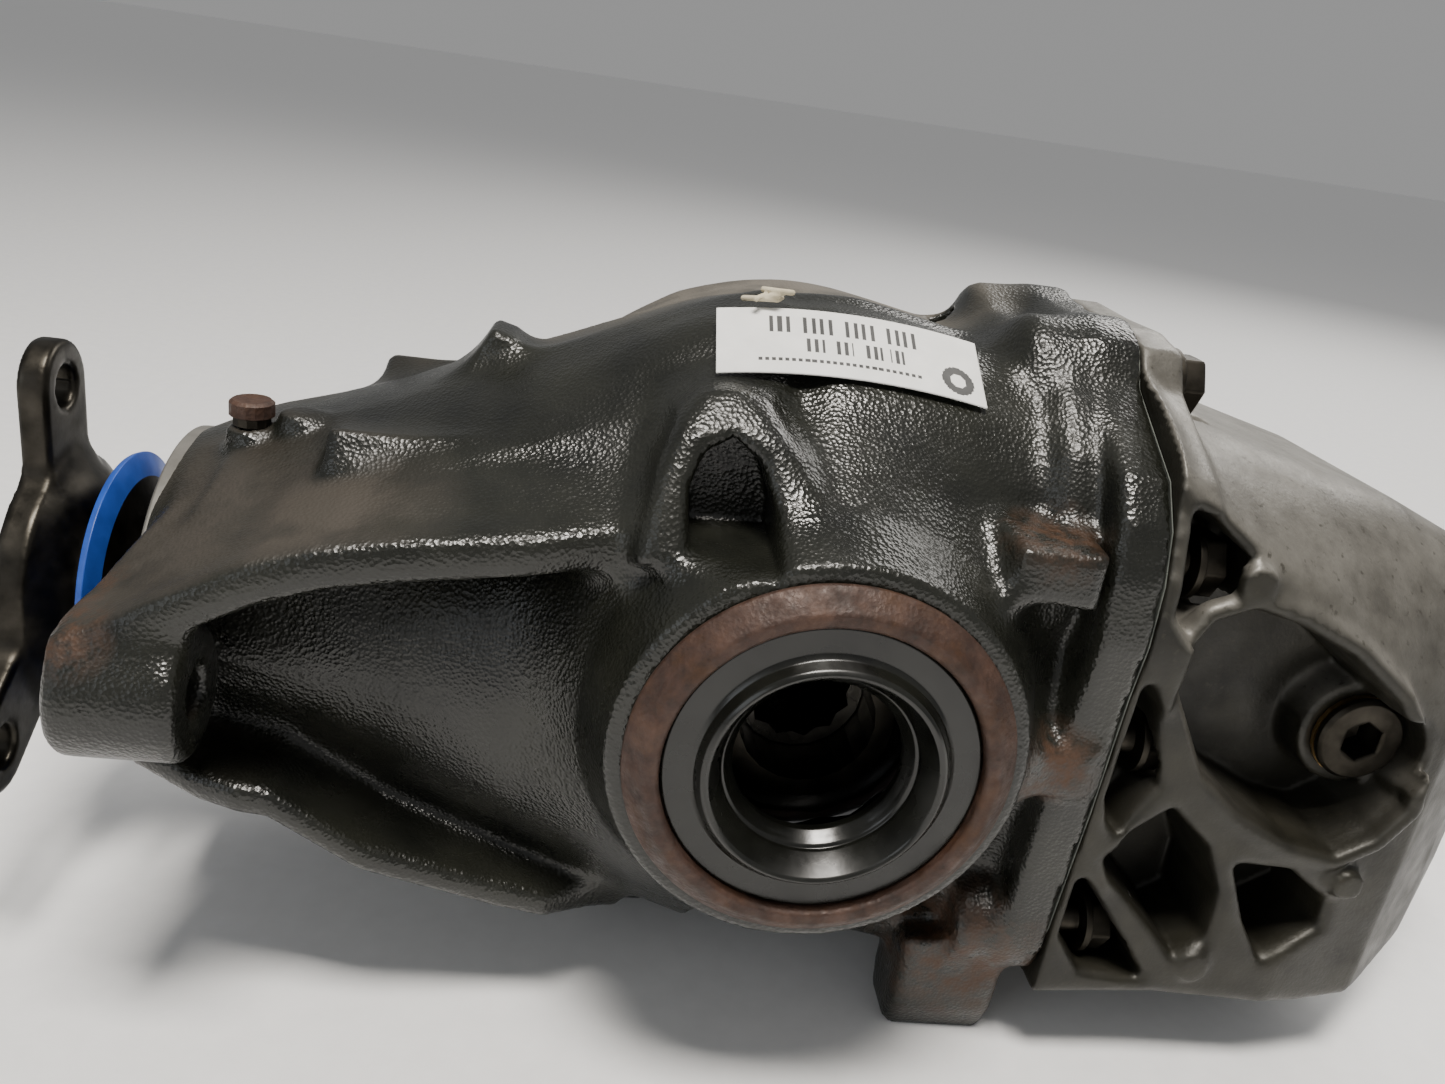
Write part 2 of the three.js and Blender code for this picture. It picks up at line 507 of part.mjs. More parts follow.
const big = [[95, 17], [95, 28], [99, 36], [108, 40], [121, 37], [138, 30], [155, 18], [167, 2],
    [169, -13], [163, -23],
  [154, -29], [140, -26], [123, -18], [109, -7]];
const POCKETS = {
  big,
  upper: [[86, 63], [90, 62], [102, 53], [103, 45], [91, 34], [86, 40]],
  slit: [[84, 18], [88, 12], [96, -12], [88, -27], [84, -15]],
  lower: [[104, -21], [117, -32], [124, -46], [125, -61], [118, -66], [92, -40], [89, -34]],
  corner: [[84, -44], [87, -47], [109, -75], [92, -73], [84, -62]],
  rear: [[129, -37], [144, -38], [158, -48], [159, -56], [145, -66], [137, -54]],
};
const PINS = [[106, 48], [161, -39], [124, -70], [85, -30]];   // small round bosses where ribs meet

function coverBody() {
  const top = (x, y) => {
    const t = Math.min(1, Math.max(0, (Math.abs(y) - 30) / 46));
    return crown(x) * (1 - t * t) + sideTop(x) * t * t;
  };
  const body = slab([BOLT_HEAD_SEAT - 4, TAIL_END - 8], [-76, 76], (x) => floorAt(x), top, 7, 6);
  const plan = [[80, -78], [150, -76], [180, -70], [205, -52], [TAIL_END - 8, -30]];
  const planRing = [...plan, ...plan.map(([x, y]) => [x, -y]).reverse()];
  const plate = prism('x', flangeRim(), PARTING + GASKET, BOLT_HEAD_SEAT);
  const lug = rod('x', LUG_RADIUS, 190, TAIL_END, 16, [0, 0, LUG_Z]);
  return join(common(body, prism('z', planRing, -100, 100)), plate, lug);
}

function rearCover() {
  const depth = (points) => (points === POCKETS.slit ? 62 : INNER_WALL);
  const pockets = Object.values(POCKETS).map((points) => prism('y', points, depth(points),
      90)).flatMap(both);
  const cavity = [
    gearRoom(),
    slab([60, 158], [-39, 39], (x) => -74 + 0.12 * (x - 79), (x, y) => crown(x) - 9 - 0.004 * y * y, 4, 2),
  ];
  const heads = BOLTS.map(([y, z]) => join(rod('x', BOLT_RADIUS + GAP, 70, BOLT_HEAD_SEAT + 1, 6, [0, y, z]),
    rod('x', BOLT_HEAD_ROOM, BOLT_HEAD_SEAT, BOLT_HEAD_BACK, 8, [0, y, z]))).flatMap(both);
  const dowels = DOWELS.map(([y, z]) => rod('x', DOWEL_RADIUS + GAP, 70, 87, 10, [0, y, z]));
  const plug = join(rod('y', PLUG_RADIUS + GAP, -70, -36, 20, [PLUG_X, 0, PLUG_Z]),
    rod('y', PLUG_RIM, -90, PLUG_FACE, 20, [PLUG_X, 0, PLUG_Z]));
  const lugHole = rod('x', LUG_HOLE, 206, 250, 12, [0, 0, LUG_Z]);
  const rim = rod('y', PLUG_RIM, PLUG_FACE, -INNER_WALL + 2, 24, [PLUG_X, 0, PLUG_Z]);
  const pins = PINS.flatMap(([x, z]) => both(rod('y', 4.2, 60, 77.5, 10, [x, 0, z])));
  return cut(join(cut(coverBody(), pockets, cavity, heads, dowels), pins, rim), plug, lugHole);
}

function coverGasket() {
  const holes = BOLTS.map(([y, z]) => rod('x', BOLT_RADIUS + 1.2, 70, 90, 6, [0, y, z])).flatMap(both);
  const dowels = DOWELS.map(([y, z]) => rod('x', DOWEL_RADIUS + 1, 70, 90, 10, [0, y, z]));
  return cut(prism('x', flangeRim(1), PARTING + 0.25, PARTING + GASKET - 0.25),
    prism('x', rearOpening(1.5), 70, 90), holes, dowels);
}

function coverBolt([y, z]) {
  const at = [0, y, z];
  const head = prism('x', around(6, (a) => [BOLT_HEAD * Math.cos(a) + y, BOLT_HEAD * Math.sin(a) + z]),
      BOLT_HEAD_SEAT + 2.6, 101);
  const washer = rod('x', BOLT_WASHER, BOLT_HEAD_SEAT + GAP, BOLT_HEAD_SEAT + 2.61, 12, at);
  return join(head, washer, rod('x', BOLT_RADIUS - 0.6, 60, BOLT_HEAD_SEAT + 1, 6, at));
}

// ---------------------------------------------------------------- small outside pieces

function fillPlug() {
  const at = [PLUG_X, 0, PLUG_Z];
  const head = turned('y', [[-42, 0], [-42, PLUG_RADIUS], [PLUG_FACE - 1.8, PLUG_RADIUS],
      [PLUG_FACE - 1.8, 12.6],
    [PLUG_FACE - 4.5, 12], [PLUG_FACE - 4.5, 0]], 20, at);
  const socket = prism('y', around(6, (a) => [5.8 * Math.cos(a) + PLUG_X, 5.8 * Math.sin(a) + PLUG_Z]),
      -70, -54);
  return cut(head, socket);
}

const plugWasher = () => tube('y', PLUG_RADIUS + GAP, 12.6, PLUG_FACE - 1.5, PLUG_FACE - GAP, 20,
    [PLUG_X, 0, PLUG_Z]);

function ventStem() {
  const at = [VENT_X, VENT_Y, 0];
  const stem = join(rod('z', 3, 26, 45.6, 12, at), rod('z', 5, 41.3, 43.5, 12, at));
  return cut(stem, rod('z', 1.4, 20, 50, 8, at));
}

const ventCap = () => turned('z', [[43.9, 3.4], [43.9, 5.9], [47.4, 5.9], [48.2, 5], [48.2, 0], [46, 0],
  [46, 3.4]], 16, [VENT_X, VENT_Y, 0]);

// Height of the paper tag, which bows over the drum and leans down its left shoulder.
const tagAt = (x, y) => 92.4 - (x * x) / 400 - TAG_SLOPE * Math.max(0, TAG_EDGE - y);

const paperLabel = () => slab([-32, 37], [-51, TAG_EDGE], (x, y) => tagAt(x, y), (x, y) => tagAt(x, y) + 0.5,
  10, 2);

// A short knotted string at the tag's upper edge.
function labelTie() {
  const points = [[-25, -26, 93], [-21, -31, 94.3], [-17, -31.5, 94.6], [-15.5, -28, 94.6],
    [-18, -25.5, 95.4], [-20.5, -28.5, 96.3], [-17, -32, 96.8], [-13, -29, 96.4]];
  const path = new THREE.CatmullRomCurve3(points.map((point) => new THREE.Vector3(...point)));
  const section = outline(around(6, (a) => [0.75 * Math.cos(a), 0.75 * Math.sin(a)]));
  return solid(new THREE.ExtrudeGeometry(section, { steps: 22, extrudePath: path }));
}

// ---------------------------------------------------------------- assembly

const finish = (color, roughness, metalness) =>
  new THREE.MeshStandardMaterial({ color, roughness, metalness, flatShading: true });
const iron = finish(0x1b1b19, 0.45, 0.3);
const castAluminium = finish(0x6f6d66, 0.5, 0.7);
const steel = finish(0x8a8c8e, 0.3, 1);
const darkSteel = finish(0x3a3a38, 0.4, 0.9);
const rust = finish(0x5a3a28, 0.8, 0.4);
const rubber = finish(0x111111, 0.5, 0);
const fibre = finish(0x4a4f4a, 0.8, 0);
const brass = finish(0x9b7b3e, 0.4, 0.9);
const blue = finish(0x2049a8, 0.45, 0);
const paper = finish(0xe6e6e2, 0.8, 0);
const cotton = finish(0xd8cfb8, 0.9, 0);

const sideBearing = taperBearing(78, 57.6, CARRIER_HUB + 0.1, BEARING_BORE - GAP, 12);
const headBearing = onPinion(taperBearing(-112, -90.6, HEAD_SEAT + 0.1, HEAD_BORE - GAP, 11));
const tailBearing = onPinion(taperBearing(-134.6, -152, TAIL_SEAT + 0.1, TAIL_BORE - GAP, 10));
const pinionAxis = [0, 0, -PINION_DROP];

const pieces = {
  housing: [housing(), iron],
  rear_cover: [rearCover(), castAluminium],
  cover_gasket: [coverGasket(), fibre],
  fill_plug: [fillPlug(), darkSteel],
  fill_plug_washer: [plugWasher(), brass],
  vent_stem: [ventStem(), darkSteel],
  vent_cap: [ventCap(), rust],
  carrier: [carrier(), darkSteel],
  ring_gear: [ringGear(), steel],
  cross_pin: [crossPin(), steel],
  lock_pin: [rod('y', LOCK_PIN, -18, 46, 10, [LOCK_PIN_X, 0, 0]), steel],
  pinion_shaft: [pinionShaft(), steel],
  pinion_shim: [tube('x', 28, HEAD_BORE - GAP, -113.3, -112.3, 20, pinionAxis), steel],
  head_bearing_cone: [headBearing.cone, steel],
  head_bearing_rollers: [headBearing.rollers, steel],
  head_bearing_cup: [headBearing.cup, steel],
  tail_bearing_cone: [tailBearing.cone, steel],
  tail_bearing_rollers: [tailBearing.rollers, steel],
  tail_bearing_cup: [tailBearing.cup, steel],
  crush_sleeve: [crushSleeve(), darkSteel],
  pinion_seal: [pinionSeal(), rubber],
  input_flange: [inputFlange(), darkSteel],
  dust_shield: [dustShield(), blue],
  collar_nut: [collarNut(), darkSteel],
  paper_label: [paperLabel(), paper],
  label_tie: [labelTie(), cotton],
};

// Pieces that the right side, +Y, and the left side, -Y, have alike.
const sidePieces = {
  bearing_retainer: [bearingRetainer(), rust],
  shaft_seal: [shaftSeal(), rubber],
  side_bearing_shim: [tube('y', 34, BEARING_BORE - GAP, 78.4, 80.2), steel],
  side_bearing_cup: [sideBearing.cup, steel],
  side_bearing_cone: [sideBearing.cone, steel],
  side_bearing_rollers: [sideBearing.rollers, steel],
  side_gear: [sideGear(), steel],
  side_gear_washer: [tube('y', CARRIER_BORE, 27, 26.8, 28.3), brass],
};
for (const [name, [made, finished]] of Object.entries(sidePieces)) {
  pieces[`${name}_right`] = [made, finished];
  pieces[`${name}_left`] = [mirrored(made), finished];
}

const spider = spiderGear();
const spiderWasher = tube('x', CROSS_PIN + GAP, 14, 37.8, 39.3, 14);
pieces.spider_gear_rear = [spider, steel];
pieces.spider_gear_front = [spun(spider, 'y', Math.PI), steel];
pieces.spider_washer_rear = [spiderWasher, brass];
pieces.spider_washer_front = [spun(spiderWasher, 'y', Math.PI), brass];

[...BOLTS, ...BOLTS.map(([y, z]) => [-y, z])].forEach((place, i) => {
  pieces[`cover_bolt_${i + 1}`] = [coverBolt(place), darkSteel];
});
DOWELS.forEach(([y, z], i) => {
  pieces[`dowel_${i + 1}`] = [tube('x', 2.2, DOWEL_RADIUS, 71, 86, 14, [0, y, z]), steel];
});

const axle = new THREE.Group();
axle.position.set(-(TAIL_END + NUT_END) / 2, 0, AXLE_HEIGHT);
for (const [name, [made, finished]] of Object.entries(pieces)) {
  const mesh = new THREE.Mesh(geometryOf(made), finished);
  mesh.name = name;
  axle.add(mesh);
}

const assembly = new THREE.Group();
assembly.add(axle);

export default assembly;
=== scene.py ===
import json
import math

import bpy
import numpy as np
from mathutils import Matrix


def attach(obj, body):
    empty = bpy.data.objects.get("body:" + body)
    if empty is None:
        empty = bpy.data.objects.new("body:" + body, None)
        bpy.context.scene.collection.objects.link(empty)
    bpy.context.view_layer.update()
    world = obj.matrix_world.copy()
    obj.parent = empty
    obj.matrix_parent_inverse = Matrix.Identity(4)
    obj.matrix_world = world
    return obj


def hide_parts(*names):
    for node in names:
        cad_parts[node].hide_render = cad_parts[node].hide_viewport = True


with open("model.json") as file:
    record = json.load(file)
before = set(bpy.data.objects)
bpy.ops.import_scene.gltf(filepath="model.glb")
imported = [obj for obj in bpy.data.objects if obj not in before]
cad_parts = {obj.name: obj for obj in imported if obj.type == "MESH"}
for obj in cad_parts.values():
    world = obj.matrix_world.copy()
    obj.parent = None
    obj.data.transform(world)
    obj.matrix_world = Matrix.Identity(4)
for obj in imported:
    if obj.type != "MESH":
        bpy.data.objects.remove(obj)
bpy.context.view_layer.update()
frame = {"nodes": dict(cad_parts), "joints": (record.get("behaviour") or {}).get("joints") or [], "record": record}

import openvdb
from mathutils import Matrix, Vector

MM = 0.001
JOINTS = {joint["name"]: joint for joint in frame["joints"]}
AXLE = Vector(JOINTS["carrier_spin"]["pos_m"])
PINION_Z = (JOINTS["pinion_spin"]["pos_m"][2] - AXLE.z) / MM

NOSE_END = -173
EAR_FACE = -175
EAR_Y, EAR_Z = 78, -6
PARTING = 79
COVER_FRONT = 79.8
BOLT_SEAT = 92
TAIL_END = 236
FLOOR_Z = -108
HUB_FACE = 98
BEARING_BORE = 41.3
RETAINER_CREST = 104.5
SEAL_SEAT = 37.8
SEAL_LIP = 20.3
FLANGE_CIRCLE = 57
INNER_WALL = 48
PLUG_X, PLUG_FACE = 159, -60
VENT_X, VENT_Y = -151, -16
KNOB_STEP = 13
TAG_X, TAG_Y = (-32, 37), (-51, -30)
LUG_Z = -34
BOLTS = [(27, 85), (63, 47), (63, -5), (63, -66)]
DOWELS = [(58, 66), (-58, -78)]
FLANGE_RIM = [(0, 97), (22, 97.6), (36, 95), (42, 86), (56, 78.4), (71, 70.3), (79, 60), (83, 47), (84, 31),
              (82, 16), (81, 0), (80, -20), (78, -40), (76, -62), (72, -76), (60, -84), (0, -86)]
FULL_RIM = [(-y, z) for y, z in FLANGE_RIM[-2:0:-1]] + FLANGE_RIM
SIDES = {"right": 1, "left": -1}

# The camera, in millimetres from the origin of the frame, and the directions it looks along.
CAMERA_AT = (-70.29, -329.68, 251.25)
CAMERA_RIGHT = (0.9873, -0.0771, 0.1388)
CAMERA_UP = (-0.1005, 0.3730, 0.9224)
CAMERA_AHEAD = (0.1228, 0.9246, -0.3605)
CAMERA_LENS = 29.15
SENSOR_WIDTH = 36

# The studio lights, in watts, and the point in metres they all aim at.
LIGHT_TARGET = (0, 0, 0.1)
KEY_POWER, FILL_POWER, REAR_POWER = 30, 4, 22
SKY_STRENGTH = 0.32


# ---------------------------------------------------------------- distance fields

def polygon(u, v, points):
    """Signed distance from the points (u, v) to a closed outline, negative inside."""
    nearest = np.float32(1e12)
    sign = np.float32(1)
    for (ax, ay), (bx, by) in zip(points, points[-1:] + points[:-1]):
        ex, ey = bx - ax, by - ay
        wx, wy = u - ax, v - ay
        along = np.clip((wx * ex + wy * ey) / (ex * ex + ey * ey), 0, 1)
        nearest = np.minimum(nearest, (wx - ex * along) ** 2 + (wy - ey * along) ** 2)
        above, below, left = v >= ay, v < by, ex * wy > ey * wx
        crossed = (above & below & left) | (~above & ~below & ~left)
        sign = np.where(crossed, -sign, sign)
    return (sign * np.sqrt(nearest)).astype(np.float32)


def prism(u, v, w, points, low, high, rounding=0.0):
    """The outline in (u, v) carried along w from low to high, with its edges rounded."""
    flat = polygon(u, v, points) + rounding
    ends = np.maximum(low - w, w - high) + rounding
    outside = np.hypot(np.maximum(flat, 0), np.maximum(ends, 0))
    return np.minimum(np.maximum(flat, ends), 0) + outside - rounding


def rod(radial, w, radius, low, high, rounding=0.0):
    flat = radial - radius + rounding
    ends = np.maximum(low - w, w - high) + rounding
    outside = np.hypot(np.maximum(flat, 0), np.maximum(ends, 0))
    return np.minimum(np.maximum(flat, ends), 0) + outside - rounding


def revolve(w, radial, points, rounding=0.0):
    """A closed profile of (along, radius) points turned about the axis of w."""
    step = 0.5
    reach = np.arange(0, radial.max() + 2 * step, step, dtype=np.float32)
    table = polygon(w.reshape(-1, 1), reach.reshape(1, -1), points)
    place = radial / step
    inner = place.astype(np.int32)
    part = place - inner
    row = np.arange(w.size).reshape(w.shape)
    return table[row, inner] * (1 - part) + table[row, inner + 1] * part - rounding


def bead(x, y, z, path, radius):
    """A round bead along a line of points."""
    nearest = np.float32(1e12)
    for start, end in zip(path[:-1], path[1:]):
        step = [b - a for a, b in zip(start, end)]
        length = sum(s * s for s in step)
        offset = [x - start[0], y - start[1], z - start[2]]
        along = np.clip((offset[0] * step[0] + offset[1] * step[1] + offset[2] * step[2]) / length, 0, 1)
        far = sum((o - s * along) ** 2 for o, s in zip(offset, step))
        nearest = np.minimum(nearest, far)
    return np.sqrt(nearest) - radius


def blend(a, b, soft):
    """Both solids, with a fillet about as wide as soft where they meet."""
    share = np.clip(0.5 + 0.5 * (b - a) / soft, 0, 1)
    return b + (a - b) * share - soft * share * (1 - share)


def carve(a, b, soft=0.0):
    """Solid a without solid b, the edge between them rounded."""
    return np.maximum(a, -b) if soft == 0 else -blend(-a, b, soft)


def shared(a, b, soft):
    return -blend(-a, -b, soft)


def samples(low, high, step):
    shapes = [(-1, 1, 1), (1, -1, 1), (1, 1, -1)]
    return [np.arange(a, b, step, dtype=np.float32).reshape(s) for a, b, s in zip(low, high, shapes)]


def level(x, points):
    """Height read off a line of (position, height) points."""
    return np.interp(x, [p[0] for p in points], [p[1] for p in points]).astype(np.float32)


def meshed(name, field, low, step):
    grid = openvdb.FloatGrid(4 * step)
    grid.copyFromArray(np.ascontiguousarray(field, dtype=np.float32))
    points, _, quads = grid.convertToPolygons(0.0, 0.0)
    places = (points * step + np.array(low)) * MM + np.array(AXLE)
    return mesh_object(name, places, quads)


# ---------------------------------------------------------------- mesh pieces

def mesh_object(name, places, faces):
    mesh = bpy.data.meshes.new(name)
    mesh.from_pydata(np.asarray(places).tolist(), [], np.asarray(faces).tolist())
    mesh.update()
    mesh.shade_smooth()
    made = bpy.data.objects.new(name, mesh)
    bpy.context.scene.collection.objects.link(made)
    return made


def softened(profile, radius=0.4, steps=3):
    """The same closed profile with each corner turned into a small arc."""
    out = []
    for before, corner, after in zip(profile[-1:] + profile[:-1], profile, profile[1:] + profile[:1]):
        corner = Vector(corner)
        back, ahead = Vector(before) - corner, Vector(after) - corner
        reach = min(radius, 0.4 * back.length, 0.4 * ahead.length)
        first, last = corner + back.normalized() * reach, corner + ahead.normalized() * reach
        for i in range(steps + 1):
            t = i / steps
            point = first * (1 - t) ** 2 + corner * 2 * t * (1 - t) + last * t * t
            out.append((point.x, point.y))
    return out


def lathe(name, axis, profile, at=(0, 0, 0), segments=128, radius=0.4, wobble=None):
    """A profile of (along, radius) points turned about an axis. wobble moves a radius by angle."""
    ring = softened(profile, radius)
    area = sum(a[0] * b[1] - b[0] * a[1] for a, b in zip(ring, ring[1:] + ring[:1]))
    ring = ring if area > 0 else ring[::-1]
    places, count = [], len(ring)
    for s in range(segments):
        angle = 2 * math.pi * s / segments
        for along, r in ring:
            r = r + (wobble(angle, along, r) if wobble else 0)
            u, v = r * math.cos(angle), r * math.sin(angle)
            place = {"x": (along, u, v), "y": (v, along, u), "z": (u, v, along)}[axis]
            places.append([AXLE[k] + (place[k] + at[k]) * MM for k in range(3)])
    faces = []
    for s in range(segments):
        a, b = s * count, ((s + 1) % segments) * count
        for i in range(count):
            j = (i + 1) % count
            faces.append((a + i, b + i, b + j, a + j))
    return mesh_object(name, places, faces)


def dressed(piece, body, slot, finish, *nodes):
    """Says what a piece rides on, wears and stands for."""
    piece.data.materials.clear()
    piece.data.materials.append(finish)
    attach(piece, body)
    if nodes:
        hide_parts(*nodes)
    return piece


# ---------------------------------------------------------------- housing

NOSE_TOP = [(-175, 27), (-150, 37), (-134, 42), (-115, 49), (-100, 56), (-61, 71), (-39, 79), (-17, 86)]
WING_RIM = [(-175, 7), (-152, 20), (-133, 30), (-118, 35), (-101, 38), (-72, 41), (-40, 43)]
SHELF_TOP = [(-172, -26), (-150, -34), (-132, -36), (-108, -51), (-74, -64), (-40, -75)]
ARCH = [(-48, 40), (-45, 60), (-41, 71), (-35, 77.5), (-28, 80), (-19, 76), (-11, 65), (-7, 53), (-7, 40)]
ARCH_FACE = [(44, 30), (90, 30), (86, 42), (80, 55), (72, 69), (62, 78), (44, 78)]
ARCH_POCKET = [(-36, 44), (-37, 57), (-34, 64.5), (-27.5, 68), (-21, 63.5), (-17, 54), (-16.5, 45)]
CASE_SECTION = [(-20, -95), (40, -95), (56, -84), (62, -62), (62, 60), (50, 75), (40, 83), (30, 88),
                (24, 96), (-20, 96)]


def drum_shape(y, radial):
    """The drum: round-shouldered on the left, fuller over the ring gear on the right."""
    left = revolve(y, radial, [(-20, -50), (-20, 66.5), (-8, 66.5), (-8, -50)], 26)
    right = revolve(y, radial, [(-10, -50), (-10, 81), (48, 81), (48, -50)], 6)
    dish = revolve(y, radial, [(-HUB_FACE, -50), (-HUB_FACE, 50), (-95, 51), (-80, 57), (-68, 65), (-56, 72),
                               (-50, 75.5), (50, 82), (55, 81.5), (60, 75), (68, 66), (80, 57), (95, 51),
                               (HUB_FACE, 50), (HUB_FACE, -50)])
    return blend(blend(left, right, 5), dish, 12)


def nose_shape(x, y, z, pinion_radial):
    cone = revolve(x, pinion_radial, [(NOSE_END, -50), (NOSE_END, 46), (-160, 46), (-150, 48),
                                      (-110, 56), (-70, 68), (-20, 84), (-20, -50)])
    low = level(x, [(-180, -64), (-130, -66), (-74, -84), (-20, -95)])
    cone = shared(cone, (low - z) * 0.95, 4)
    top = level(x, NOSE_TOP) - 0.006 * y * y
    saddle = np.maximum(np.maximum((z - top) * 0.85, np.abs(y) - 46), np.maximum(-152 - x, x + 20))
    return blend(cone, np.maximum(saddle, -z - 10), 8)


def wing_shape(x, side, z):
    share = np.clip((side - 14) / 66, 0, 1)
    top = level(x, NOSE_TOP) * (1 - share) + level(x, WING_RIM) * share - 2 * share * (1 - share)
    plan = polygon(x, side, [(-166, -20), (-166, 40), (EAR_FACE, 66), (EAR_FACE, 86), (-160, 86),
                             (-135, 84), (-100, 82), (-70, 80), (-40, 74), (-30, -20)])
    plate = shared(np.abs(z - top + 4) * 0.93 - 4, plan, 2.5)
    rim = bead(x, side, z, [(-166, 81, 7), (-152, 81, 15), (-133, 80, 25), (-118, 79, 30), (-101, 77.5, 33),
                            (-72, 74, 36), (-50, 68, 38)], 4.6)
    floor = level(x, SHELF_TOP)
    shelf_plan = polygon(x, side, [(-168, -20), (-168, 66), (-140, 74), (-110, 74), (-60, 66), (-40, 50),
                                   (-40, -20)])
    shelf = shared(np.abs(z - floor + 4) * 0.9 - 4, shelf_plan, 4)
    web = prism(side, z, x, [(0, 26), (40, 18), (80, 7), (78, -22), (50, -26), (0, -50)], -168, -160, 2)
    boss = rod(np.hypot(side - EAR_Y, z - EAR_Z), x, 17, EAR_FACE, -146, 3)
    wing = blend(plate, rim, 5)
    wing = blend(wing, blend(shelf, web, 8), 8)
    return blend(wing, boss, 7)


def rear_shape(x, side, z):
    plate = prism(side, z, x, FULL_RIM, 66, PARTING + 5, 3.5)
    outline = [(0, 84), (38, 84), (52, 94), (90, 95), (90, -84), (44, -88), (16, -80), (0, -60)]
    box = prism(x, z, side, outline, -9, 62, 5)
    box = shared(box, polygon(side, z, CASE_SECTION), 6)
    ridge = bead(x, side, z, [(60, 30, 87), (60, 44, 79), (60, 56, 68), (60, 64, 52), (60, 66, 34)], 5)
    shape = blend(blend(plate, box, 9), ridge, 6)
    hood = rod(np.hypot(side - 25, z - 84), x, 14, 49, PARTING + 5, 5)
    upper = prism(x, z, side, [(41, 41), (41, 54), (63, 54), (63, 39)], 60, 86, 3)
    lower = prism(x, z, side, [(57, -14), (57, 0), (75, 0), (75, -14)], 62, 83, 3)
    foot_boss = rod(np.hypot(side - 63, z + 67), x, 12, 54, PARTING + 5, 3)
    for piece, soft in ((hood, 8), (upper, 5), (lower, 5), (foot_boss, 6)):
        shape = blend(shape, piece, soft)
    return shape


def cast_details(x, y, side, z):
    foot = prism(side, z, x, [(46, -78), (70, -72), (68, -98), (64, FLOOR_Z), (48, FLOOR_Z), (45, -98)],
                 42, 74, 4)
    sump = prism(x, z, y, [(-53, FLOOR_Z), (-29, FLOOR_Z), (-8, -80), (-60, -70)], -16, 16, 1.5)
    lug = prism(x, z, y, [(-104, 48), (-90, 73), (-84, 71.5), (-72, 60), (-70, 48)], -9, 9, 2)
    knobs = [rod(np.hypot(x - VENT_X, y - VENT_Y), z, 6.6, 20, 41, 1.5),
             rod(np.hypot(x - VENT_X - KNOB_STEP, y - VENT_Y), z, 6.2, 20, 46.5, 2.5)]
    pad = prism(side, z, x, [(22, 44), (42, 51), (47, 43), (46, 30), (22, 30)], -126, -80, 3)
    ridge = bead(x, y, z, [(-84, -8, 62), (-61, -8, 69), (-39, -8, 78), (-17, -8, 87.5), (8, -8, 89.5),
                           (38, -8, 84)], 3.5)
    return foot, sump, lug, knobs, pad, ridge


def gear_room(y, radial):
    return revolve(y, radial, [(-58, -50), (-58, 60), (-50, 68), (2, 72), (9, 82.6), (50, 82.6), (58, 69),
                               (58, -50)])


def housing_field(x, y, z):
    side = np.abs(y)
    radial = np.hypot(x, z)
    pinion_radial = np.hypot(y, z - PINION_Z)
    shape = drum_shape(y, radial)
    shape = blend(shape, nose_shape(x, y, z, pinion_radial), 12)
    shape = blend(shape, wing_shape(x, side, z), 9)
    shape = blend(shape, rear_shape(x, side, z), 12)
    foot, sump, lug, knobs, pad, ridge = cast_details(x, y, side, z)
    for piece, soft in ((foot, 5), (sump, 5), (lug, 7), (pad, 5), (ridge, 5), (knobs[0], 3), (knobs[1], 4)):
        shape = blend(shape, piece, soft)
    arch = shared(prism(x, z, side, ARCH, 40, 90, 3), polygon(side, z, ARCH_FACE), 5)
    shape = blend(shape, arch, 7)
    shape = carve(shape, prism(x, z, side, ARCH_POCKET, 62, 130), 3.5)
    shape = carve(shape, rod(np.hypot(y - 25, z - 84), x, 5.5, 40, 60), 1.5)
    shape = carve(shape, gear_room(y, radial))
    opening = [(-60, -66), (42, -74), (50, -66), (50, 60), (40, 76), (-60, 76)]
    shape = carve(shape, prism(side, z, x, opening, 10, 100))
    shape = carve(shape, rod(radial, side, BEARING_BORE, -10, 130))
    shape = carve(shape, revolve(x, pinion_radial, [
        (-190, -50), (-190, 36.3), (-158, 36.3), (-158, 31.3), (-133, 31.3), (-133, 27), (-113.6, 27),
        (-113.6, 36.3), (-90, 36.3), (-86, 42), (-40, 42), (-40, -50)]))
    shape = carve(shape, rod(np.hypot(x - VENT_X, y - VENT_Y), z, 3.3, 4, 60))
    shape = carve(shape, rod(np.hypot(side - EAR_Y, z - EAR_Z), x, 6.5, -190, -140), 1)
    for across, up in BOLTS:
        shape = carve(shape, rod(np.hypot(side - across, z - up), x, 5.3, 57, 100))
    for across, up in DOWELS:
        shape = carve(shape, rod(np.hypot(y - across, z - up), x, 4.3, 70, 100))
    shape = np.maximum(shape, EAR_FACE - x)
    shape = np.maximum(shape, FLOOR_Z - z)
    return np.maximum(shape, x - PARTING)


def housing_piece(finish):
    low, high, step = (-179, -100, -112), (83, 100, 103), 1.5
    x, y, z = samples(low, high, step)
    piece = meshed("housing_casting", housing_field(x, y, z), low, step)
    return dressed(piece, "root", "cast_iron_black", finish, "housing")


# ---------------------------------------------------------------- rear cover

